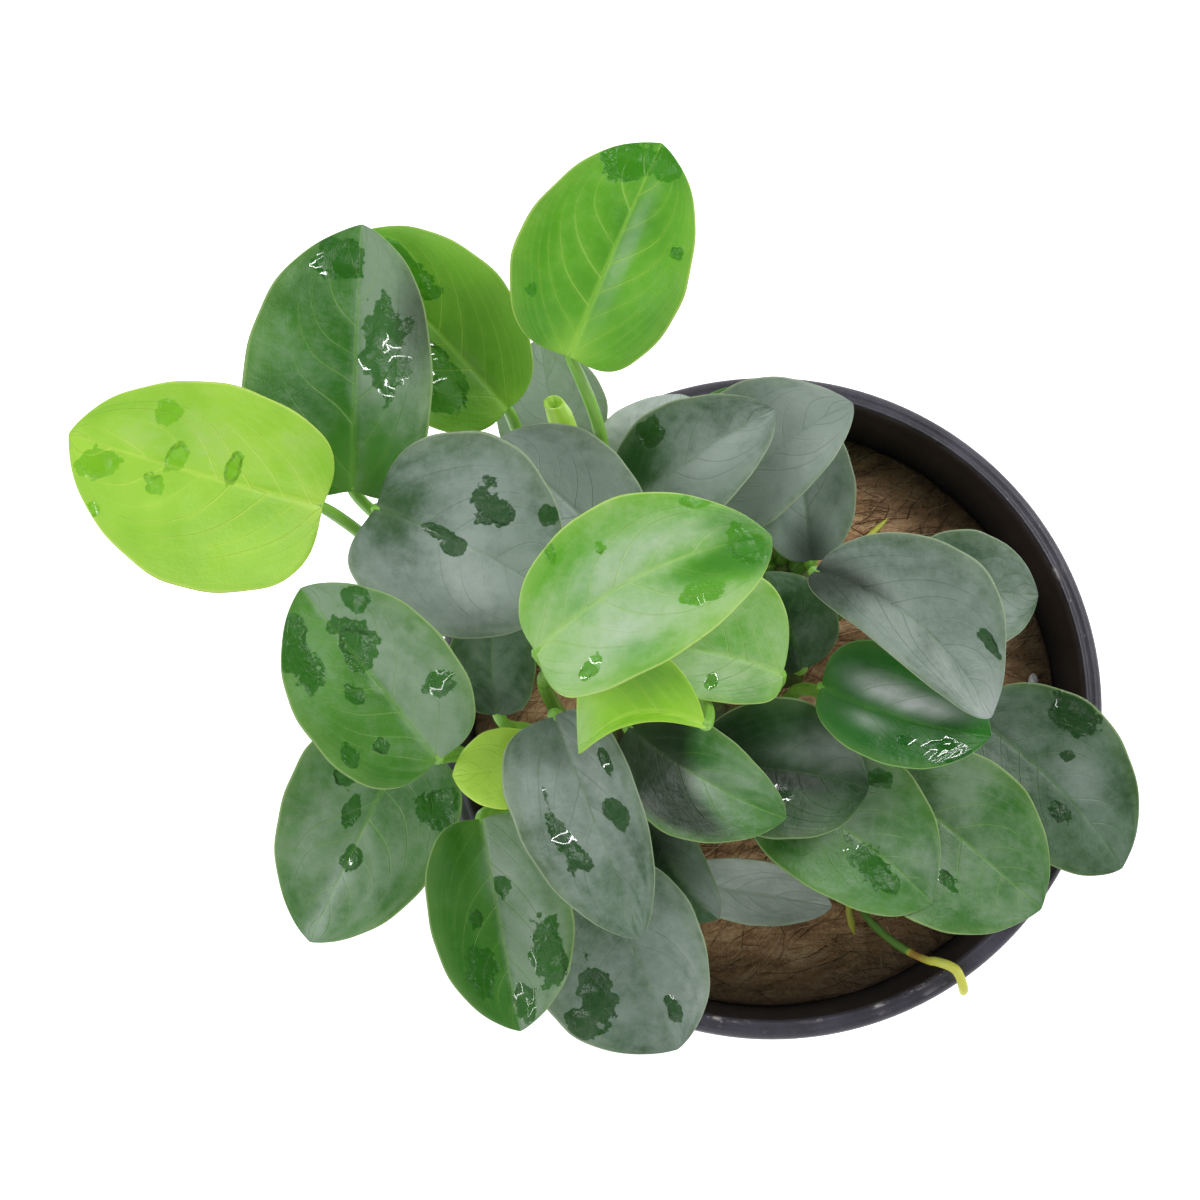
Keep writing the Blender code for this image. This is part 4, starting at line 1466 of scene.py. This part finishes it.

# Each row gives its leaf's painted sheen, painted highlight (pale, glare), painted shade (deep) and
# painted lightening or darkening (light), beside its shape and damp patches.
LEAVES = (
    Leaf("far_left", Slot.LIME, BROAD, (-92, 33, 158), (-141, 46, 166), 41, (Branch.BACK, 0.20, 0.9),
         lean=0.1, sweep=1, painted_sheen=(0.02, 0.14), light=0.4,
         sheen=((0.62, -8, 10, 7, 0.25), (0.1, -12, 6, 6, 0.2)),
         damp=((0.67, -10, 3.5, 3), (0.86, 3.8, 4.5, 3.2), (0.58, -2, 2, 3), (0.63, 4.6, 2.6, 2.4),
               (0.83, 12.8, 1.6, 1.8), (0.37, -2.5, 1.5, 3.6))),
    Leaf("top_left", Slot.GREEN, HEART, (-87, 38, 148), (-85, 91, 156), 38, (Branch.BACK, 0.46, 0.9),
         lean=0.15, cup=5, painted_sheen=(0.22, 0.80), sheen=((0.12, -6, 11, 9, -0.8), (0.4, 8, 14, 8, 0.2)),
         deep=((0.08, 0, 9, 12, 0.4), (0.9, 10, 8, 8, 0.4), (0.66, -13, 20, 9, 1.8)),
         damp=((0.56, -5.5, 9, 5), (0.86, 4.5, 5, 5), (0.42, -8, 4, 3.5))),
    Leaf("top_left_behind", Slot.FRESH, OVAL, (-56, 57, 138), (-89, 91, 146), 35,
         (Branch.BACK, 0.58, 0.9), lean=0.05, painted_sheen=(0.1, 0.05), deep=((0.85, -8, 12, 9, 0.25),),
         light=0.45, damp=((0.24, 7.8, 5, 5), (0.40, 5, 4.5, 2.8), (0.74, -4, 9, 3)),
         sheen=((0.22, 1, 6, 4, 0.35),)),
    Leaf("top", Slot.FRESH, BROAD, (-43, 61, 168), (-25, 101, 178), 34, (Branch.BACK, 0.71, 0.2),
         lean=0.05, bow=(14, -9), painted_sheen=(0.14, 0.06), tip_brown=1.0,
         glare=((0.50, -2.2, 13, 1.5, 0.30),),
         damp=((0.86, 4.2, 5, 5.5), (0.92, -2.5, 3, 3.4), (0.2, 11.9, 1.9, 1.7),
               (0.59, -11.4, 1.4, 1.3))),
    Leaf("behind_top", Slot.SLATE, BROAD, (-46, 52, 108), (-50, 76, 120), 24, (Branch.BACK, 0.88, 0.9),
         painted_sheen=(0.75, 0.45), pale=0.25, light=1.6),
    Leaf("left_round", Slot.SLATE, HEART, (-81, 32, 162), (-45, 14, 160), 41, (Branch.BACK, 0.34, 0.9),
         lean=0.05, sweep=1, painted_sheen=(0.84, 0.90), sheen=((0.06, 0, 9, 8, -0.7), (0.2, 15, 8, 5, -0.4)),
         deep=((0.08, 2, 10, 8, 0.6), (0.95, -2, 4, 5, 0.5), (0.25, 8, 8, 4, 0.3)),
         glare=((0.62, -7, 9, 5, 0.38), (0.45, 2, 5, 8, 0.18)),
         damp=((0.52, 8.6, 4.6, 3.0), (0.44, 12.2, 2.2, 2.6), (0.77, 12.6, 2.4, 2.6),
               (0.43, -1.6, 2.6, 1.8), (0.33, 0, 3.4, 1.1))),
    Leaf("upper_centre", Slot.SLATE, ROUND, (-32, 25, 144), (-58, 48, 149), 28,
         (Branch.BACK, 0.42, -0.9), painted_sheen=(0.8, 0.9), pale=0.06, deep=((0.8, 9, 8, 4, 0.5),)),
    Leaf("upper_right", Slot.SLATE, LONG, (-30, 37, 133), (-1, 57, 137), 25, (Branch.BACK, 0.66, -0.9),
         sweep=1, cup=4, painted_sheen=(0.6, 0.85), damp=((0.34, 9.5, 3.6, 3),), sheen=((0.15, 7, 8, 6, -0.6),),
         deep=((0.05, 6, 8, 6, 0.8), (0.55, 9, 8, 3, 0.4)), glare=((0.55, -2, 12, 4, 0.36),)),
    Leaf("upper_folded", Slot.SLATE, LONG, (-11, 39, 123), (16, 60, 129), 28,
         (Branch.RIGHT, 0.97, -0.3), lean=0.2, sweep=2, cup=4, painted_sheen=(0.95, 0.95),
         deep=((0.1, 4, 12, 4, 1.4), (0.35, 7, 9, 2.5, 0.9)),
         glare=((0.6, -5, 10, 5, 0.26), (0.75, 6, 8, 4, 0.20))),
    Leaf("upper_behind", Slot.SLATE, OVAL, (8, 29, 114), (4, 62, 117), 22, (Branch.RIGHT, 0.85, -0.8),
         painted_sheen=(0.85, 0.80), deep=((0.05, 0, 11, 8, 2.0),)),
    Leaf("back_pale", Slot.SLATE, OVAL, (-22, 46, 117), (-20, 63, 124), 29, (Branch.BACK, 0.97, -0.2),
         lean=0.1, painted_sheen=(1.0, 1.0), pale=0.75),
    Leaf("back_green", Slot.GREEN, OVAL, (-10, 45, 107), (-8, 67, 114), 22, (Branch.RIGHT, 0.99, 0.9)),
    Leaf("centre", Slot.LIME, BROAD, (-49, 1, 182), (-5, 22, 188), 32, (Branch.MAIN, 0.24, 0.9),
         lean=-0.05, sweep=4, bow=(13, 0), skin=Skin.PALE_LIME, painted_sheen=(0.50, 0.55),
         sheen=((0.1, 12, 9, 5, -0.4), (0.74, -4.2, 12, 4.4, -0.6)),
         deep=((0.74, -3.4, 12, 3.8, 1.8), (0.93, 0, 7, 9, 1.5), (0.78, 5, 9, 3, 0.9),
               (0.2, 9, 6, 3, 0.6), (0.55, 12, 10, 3, 0.6), (0.05, 0, 6, 6, 0.4)),
         glare=((0.50, 4.5, 13, 3.0, 0.46), (0.36, -8, 11, 4.0, 0.42), (0.35, -2, 9, 5, 0.24)),
         damp=((0.82, 9.4, 3, 1.8), (0.90, -1.7, 3.4, 3.6), (0.67, -7.4, 3.8, 2.2),
               (0.40, 7.8, 1.2, 1.9), (0.22, 12, 1.2, 2), (0.15, -10, 3, 2))),
    Leaf("centre_under", Slot.LIME, ROUND, (-1, 0, 155), (-29, 5, 160), 27, (Branch.RIGHT, 0.04, 0.5),
         lean=-0.3, sweep=-1, bow=(-6, -5), skin=Skin.PALE_LIME, painted_sheen=(0.60, 0.50),
         deep=((0.16, 3, 6, 8, 1.1), (0.3, 8, 7, 3.6, 0.9), (0.9, 0, 9, 12, 1.0)),
         glare=((0.50, 4, 5, 4, 0.15),), light=-0.4, damp=((0.5, 5.6, 1.6, 1.5),)),
    Leaf("young_centre", Slot.LIME, OVAL, (-17, -12, 174), (-41, -17, 169), 17,
         (Branch.MAIN, 0.46, 0.3), lean=-0.75, sweep=-5, cup=4, bow=(-3, 4), skin=Skin.YOUNG,
         painted_sheen=(0.0, 0.0), light=0.4, deep=((0.3, -8, 8, 3, 0.7),), glare=((0.95, -4, 4, 5, 0.35),)),
    Leaf("inner_dark", Slot.DARK, OVAL, (5, 4, 130), (-3, 23, 137), 20, (Branch.RIGHT, 0.22, 0.9),
         painted_sheen=(0.10, 0.30), light=-0.5, deep=((0.1, 4, 10, 7, 1.8),)),
    Leaf("right_broad", Slot.SLATE, OVAL, (6, 21, 152), (41, -8, 148), 26, (Branch.RIGHT, 0.55, -0.9),
         lean=0.3, sweep=4, roll=-12, bow=(5, 0), painted_sheen=(0.74, 0.70),
         deep=((0.05, -2, 14, 11, 2.0), (0.3, 1, 12, 2, 0.6)),
         glare=((0.97, 0, 4, 5, 0.45), (0.75, -4, 8, 3, 0.2)), damp=((0.80, 8, 4.2, 1.2),)),
    Leaf("right_behind", Slot.GREEN, OVAL, (25, 22, 114), (57, 22, 110), 26, (Branch.RIGHT, 0.68, -0.9),
         skin=Skin.SLATE, painted_sheen=(0.50, 0.50), deep=((0.2, 0, 9, 12, 1.0),)),
    Leaf("right_glossy", Slot.DARK, BROAD, (8, -1, 141), (42, -11, 140), 24, (Branch.MAIN, 0.70, 0.8),
         lean=0.15, sweep=-2, bow=(7, -3), skin=Skin.GLOSSY, painted_sheen=(0.0, 0.0),
         deep=((0.12, 0, 7, 8, 1.0), (0.8, 3, 8, 5, 0.9), (0.5, -9, 12, 3, 0.8)),
         glare=((0.36, 4.4, 7, 2.4, 1.15), (0.60, 3.6, 7, 1.9, 0.95), (0.3, -3, 4, 1.5, 0.45)),
         damp=((0.74, -4.6, 5.6, 2.6), (0.55, -4.0, 2.4, 1.6))),
    Leaf("far_right", Slot.DARK, BROAD, (42, -4, 112), (75, -36, 102), 33, (Branch.MAIN, 0.98, 0.0),
         lean=0.05, sweep=2, painted_sheen=(0.50, 0.45), sheen=((0.6, 4, 8, 6, 0.4),),
         deep=((0.08, 2, 12, 9, 1.3), (0.35, 12, 9, 5, 0.8), (0.85, -6, 8, 6, 0.3)),
         glare=((0.55, 5, 6, 4, 0.16),),
         damp=((0.33, 13.5, 6, 4), (0.59, -3.2, 2.8, 2.4), (0.42, 6, 2.2, 1.5))),
    Leaf("lower_right", Slot.GREEN, BROAD, (24, -18, 118), (56, -45, 111), 37,
         (Branch.MAIN, 0.90, -0.9), lean=-0.1, arch=2, painted_sheen=(0.56, 0.54), light=-0.15,
         damp=((0.51, -9, 4, 1.6),), deep=((0.1, 0, 14, 12, 1.4),)),
    Leaf("lower_green", Slot.GREEN, BROAD, (-3, -20, 125), (32, -44, 119), 32,
         (Branch.MAIN, 0.76, -0.9), lean=0.1, sweep=2, painted_sheen=(0.50, 0.35),
         damp=((0.68, -3.2, 7.0, 3.8), (0.42, 12.5, 3, 2)), deep=((0.12, 0, 12, 9, 1.5),),
         glare=((0.88, 6, 5, 4, 0.22), (0.5, 2, 10, 3, 0.1))),
    Leaf("lower_dark", Slot.DARK, OVAL, (-17, -16, 134), (18, -21, 131), 29, (Branch.MAIN, 0.62, -0.9),
         sweep=1, painted_sheen=(0.14, 0.22), light=-0.6, deep=((0.1, 2, 16, 14, 2.1), (0.6, -2, 10, 2.6, 1.5)),
         glare=((0.78, 6, 7, 4.2, 0.50), (0.5, 3, 8, 2.4, 0.16)), damp=((0.51, -5, 3, 2),)),
    Leaf("lower_centre", Slot.GREEN, LONG, (-31, -10, 152), (0, -28, 146), 23,
         (Branch.MAIN, 0.50, -0.9), lean=-0.15, sweep=-2, painted_sheen=(0.36, 0.36), tip_brown=1.0,
         deep=((0.12, -5, 13, 8, 3.0), (0.12, 5, 10, 7, 1.9), (0.5, -8, 13, 3.6, 2.0)),
         glare=((0.45, -1.5, 6, 3, 0.28), (0.7, 5, 8, 3, 0.16))),
    Leaf("lower_left", Slot.SLATE, LONG, (-46, -9, 160), (-29, -52, 155), 25, (Branch.MAIN, 0.24, -0.6),
         lean=-0.2, cup=4, painted_sheen=(0.70, 0.66), sheen=((0.85, 1, 14, 9, -0.28),), tip_brown=1.0,
         deep=((0.0, 0, 7, 8, 1.4), (0.80, 4, 8, 2.5, 0.5)),
         glare=((0.3, 3, 7, 5, 0.16), (0.65, 2, 9, 4, 0.06)),
         damp=((0.46, -7.4, 8.5, 2.2), (0.47, 4.2, 3.6, 2.2), (0.25, 6.3, 3, 0.9), (0.60, -5, 3, 1.3))),
    Leaf("left_lower", Slot.GREEN, BROAD, (-68, -18, 168), (-94, 14, 176), 32, (Branch.MAIN, 0.12, 0.3),
         lean=0.05, bow=(-12, 7), painted_sheen=(0.20, 0.76), light=0.2, deep=((0.05, 0, 5, 10, 0.8),),
         glare=((0.5, -6, 9, 5, 0.14),),
         damp=((0.80, 8, 7.5, 5.5), (0.81, -6.9, 2.6, 2.4), (0.65, -1.2, 6, 4.2), (0.49, 4.7, 3, 1.9),
               (0.26, -9.3, 2.6, 3), (0.29, 12.6, 3, 2), (0.22, 7.3, 1.6, 1.4))),
    Leaf("far_lower_left", Slot.GREEN, LONG, (-77, -11, 128), (-97, -52, 121), 36,
         (Branch.MAIN, 0.02, 0.9), painted_sheen=(0.50, 0.50), deep=((0.05, 0, 10, 15, 1.1),),
         glare=((0.78, 0, 13, 2.5, 0.42), (0.6, -9, 10, 3, 0.2), (0.6, 7, 9, 3, 0.16)),
         damp=((0.37, -3.7, 4, 1.8), (0.2, 12.4, 4.4, 4.4), (0.58, 0.6, 3.4, 2.2), (0.25, -8, 2.4, 2))),
    Leaf("bottom_left", Slot.DARK, BROAD, (-61, -28, 142), (-53, -70, 134), 29,
         (Branch.MAIN, 0.03, -0.6), lean=0.05, skin=Skin.GREEN, painted_sheen=(0.72, 0.06), light=-0.35,
         deep=((0.03, 0, 5, 7, 0.8), (0.55, 1, 12, 1.6, 0.9), (0.7, -8, 14, 4, 0.6),
               (0.9, 2, 8, 9, 0.7)), glare=((0.25, 3, 6, 4, 0.32), (0.5, 7, 6, 3, 0.3)),
         damp=((0.31, 1.8, 2.4, 1.8), (0.66, 8.4, 7, 4), (0.66, -5.3, 6, 3), (0.86, 1.8, 4, 2),
               (0.44, -4.3, 2, 1.6))),
    Leaf("bottom", Slot.SLATE, BROAD, (-37, -38, 128), (-21, -74, 118), 36, (Branch.FRONT, 0.90, -0.8),
         lean=-0.2, painted_sheen=(0.60, 0.56), deep=((0.05, 0, 12, 14, 1.3), (0.6, -1, 16, 1.5, 0.5)),
         glare=((0.85, 9, 8, 4, 0.30), (0.5, 8, 8, 5, 0.12)),
         damp=((0.77, 2.8, 3.8, 1.8), (0.52, -10.5, 9, 3.6), (0.66, -16, 4, 3))),
    Leaf("inner_left", Slot.DARK, OVAL, (-58, -6, 134), (-58, 17, 142), 18, (Branch.MAIN, 0.18, 0.9),
         sweep=1, painted_sheen=(0.35, 0.55), light=-0.4, deep=((0.1, 0, 8, 9, 1.6),),
         glare=((0.6, 3, 6, 3, 0.12),)),
    Leaf("inner_bottom", Slot.DARK, LONG, (-28, -24, 118), (-12, -47, 109), 18,
         (Branch.FRONT, 0.50, 0.8), lean=-0.2, sweep=-2, painted_sheen=(0.75, 0.20), tip_brown=0.6,
         deep=((0.2, 0, 11, 9, 2.0),), glare=((0.8, 3, 6, 3, 0.25),)),
    Leaf("low_narrow", Slot.DARK, BROAD, (-18, -39, 97), (13, -44, 98), 14, (Branch.FRONT, 0.80, 0.9),
         cup=1.5, painted_sheen=(1.0, 1.0), pale=0.85, deep=((0.05, 0, 6, 6, 0.8),)),
    Leaf("young_left", Slot.LIME, OVAL, (-46, -18, 152), (-66, -20, 153), 16, (Branch.MAIN, 0.16, -0.9),
         skin=Skin.YOUNG, painted_sheen=(0.0, 0.0), light=1.6),
)

# In each finish the sheen grey is painted and stands in for the lamps' reflection, glare is a painted
# highlight and gloom a painted shade.
FINISHES = (
    LeafFinish(Skin.LIME, body=tint(150, 206, 54), deep=tint(116, 184, 34), vein=tint(200, 230, 96),
               margin=tint(196, 222, 104), painted_sheen=tint(164, 198, 118), damp=tint(120, 188, 22),
               vein_share=0.46, gloom=tint(70, 150, 20)),
    LeafFinish(Skin.FRESH, body=tint(98, 168, 36), deep=tint(72, 142, 26), vein=tint(160, 210, 76),
               margin=tint(176, 206, 100), painted_sheen=tint(134, 174, 104), damp=tint(54, 132, 10),
               vein_share=0.54),
    LeafFinish(Skin.GREEN, body=tint(72, 134, 40), deep=tint(44, 104, 22), vein=tint(124, 174, 72),
               margin=tint(152, 180, 112), painted_sheen=tint(126, 150, 124), damp=tint(32, 96, 6),
               vein_share=0.34),
    LeafFinish(Skin.DARK, body=tint(48, 92, 36), deep=tint(28, 68, 22), vein=tint(96, 142, 66),
               margin=tint(142, 168, 112), painted_sheen=tint(110, 130, 114), damp=tint(14, 62, 6),
               vein_share=0.18),
    LeafFinish(Skin.SLATE, body=tint(60, 98, 54), deep=tint(38, 74, 36), vein=tint(112, 144, 98),
               margin=tint(156, 174, 138), painted_sheen=tint(134, 149, 140), damp=tint(20, 70, 10),
               vein_share=0.14),
    LeafFinish(Skin.PALE_LIME, body=tint(124, 182, 62), deep=tint(86, 160, 34),
               vein=tint(172, 212, 108), margin=tint(190, 220, 118), painted_sheen=tint(160, 194, 136),
               damp=tint(86, 158, 30), vein_share=0.40, gloom=tint(52, 124, 22)),
    LeafFinish(Skin.YOUNG, body=tint(142, 208, 30), deep=tint(94, 168, 10), vein=tint(192, 230, 90),
               margin=tint(196, 226, 96), painted_sheen=tint(180, 214, 140), damp=tint(76, 150, 8),
               vein_share=0.40, gloom=tint(48, 112, 14)),
    LeafFinish(Skin.GLOSSY, body=tint(44, 122, 28), deep=tint(22, 92, 12), vein=tint(104, 168, 66),
               margin=tint(150, 190, 110), painted_sheen=tint(160, 186, 160), damp=tint(14, 88, 6),
               vein_share=0.14),
)


@dataclass(frozen=True)
class LightBank:
    """A bank of parallel soft tubes in one plane, turned to the plant."""

    name: str
    middle: Place
    tubes: int
    watts: float
    pitch: float = 0.12
    length: float = 0.8
    width: float = 0.009

    def build(self, aim: Place) -> None:
        """Hang the tubes side by side."""
        turn = (Vector(aim) - Vector(self.middle)).to_track_quat("-Z", "Y")
        for index in range(self.tubes):
            lamp = bpy.data.lights.new(f"{self.name}_{index + 1}", "AREA")
            lamp.shape = "RECTANGLE"
            lamp.size = self.width
            lamp.size_y = self.length
            lamp.energy = self.watts / self.tubes
            item = bpy.data.objects.new(lamp.name, lamp)
            shift = Vector(((index - (self.tubes - 1) / 2.0) * self.pitch, 0.0, 0.0))
            item.location = Vector(self.middle) + turn @ shift
            item.rotation_euler = turn.to_euler()
            bpy.context.scene.collection.objects.link(item)


@dataclass(frozen=True)
class Studio:
    """The camera above the plant, banks of soft tubes, a pale floor, pale walls, a dim ceiling."""

    camera_at: Place = (-0.0370, -0.0611, 0.6942)
    camera_tilt: float = 8.0
    lens: float = 82.4
    sensor: float = 36.0
    clip_start: float = 0.01
    aim: Place = (-0.03, 0.01, 0.13)
    wall_light: float = 0.95
    ceiling_light: float = 0.12
    wall_height: float = 0.18
    ceiling_height: float = 0.62
    floor_size: float = 6.0
    banks: tuple[LightBank, ...] = (
        LightBank("right_bank", (0.72, 0.46, 1.04), 5, 9.0),
        LightBank("left_bank", (-1.00, -0.05, 0.92), 4, 6.0),
        LightBank("back_bank", (-0.35, 0.85, 1.10), 3, 2.5),
        LightBank("front_bank", (-0.10, -0.95, 1.00), 3, 2.5),
    )

    def _camera(self, scene: bpy.types.Scene) -> None:
        """Set the camera where the photo was taken from."""
        lens = bpy.data.cameras.new("camera")
        lens.lens = self.lens
        lens.sensor_width = self.sensor
        lens.clip_start = self.clip_start
        camera = bpy.data.objects.new("camera", lens)
        camera.location = self.camera_at
        camera.rotation_euler = (math.radians(self.camera_tilt), 0.0, 0.0)
        scene.collection.objects.link(camera)
        scene.camera = camera

    def _surround(self, scene: bpy.types.Scene) -> None:
        """Surround the scene with pale walls that darken to the ceiling."""
        world = bpy.data.worlds.new("surround")
        world.use_nodes = True
        tree = world.node_tree
        place = tree.nodes.new("ShaderNodeTexCoord")
        split = tree.nodes.new("ShaderNodeSeparateXYZ")
        fall = tree.nodes.new("ShaderNodeValToRGB")
        stops = ((self.wall_height, self.wall_light), (self.ceiling_height, self.ceiling_light))
        for element, (height, light) in zip(fall.color_ramp.elements, stops):
            element.position = height
            element.color = (light, light, light, 1.0)
        tree.links.new(place.outputs["Generated"], split.inputs[0])
        tree.links.new(split.outputs["Z"], fall.inputs["Fac"])
        tree.links.new(fall.outputs["Color"], tree.nodes["Background"].inputs["Color"])
        scene.world = world

    def _floor(self, scene: bpy.types.Scene) -> None:
        """Lay the floor."""
        shape = bmesh.new()
        bmesh.ops.create_grid(shape, x_segments=8, y_segments=8, size=self.floor_size / 2)
        mesh = bpy.data.meshes.new("floor")
        shape.to_mesh(mesh)
        shape.free()
        mesh.materials.append(FloorFinish().make())
        floor = bpy.data.objects.new("floor", mesh)
        scene.collection.objects.link(floor)

    def build(self) -> None:
        """Set up the studio."""
        scene = bpy.context.scene
        scene.view_settings.view_transform = "Standard"
        self._camera(scene)
        self._surround(scene)
        for bank in self.banks:
            bank.build(self.aim)
        self._floor(scene)


def main() -> None:
    """Build the studio, the pot, the medium and the plant, in that order."""
    logging.basicConfig(level=logging.INFO, format="%(message)s")
    Studio().build()
    Pot().build()
    Medium().build()
    Rhizome().build()
    stalk = StalkFinish().make()
    skins = {finish.skin: finish.make() for finish in FINISHES}
    for leaf in LEAVES:
        leaf.build(skins[leaf.skin or Skin(leaf.slot.value)], stalk)
    for strand in STRANDS:
        strand.build()


if __name__ == "__main__":
    main()
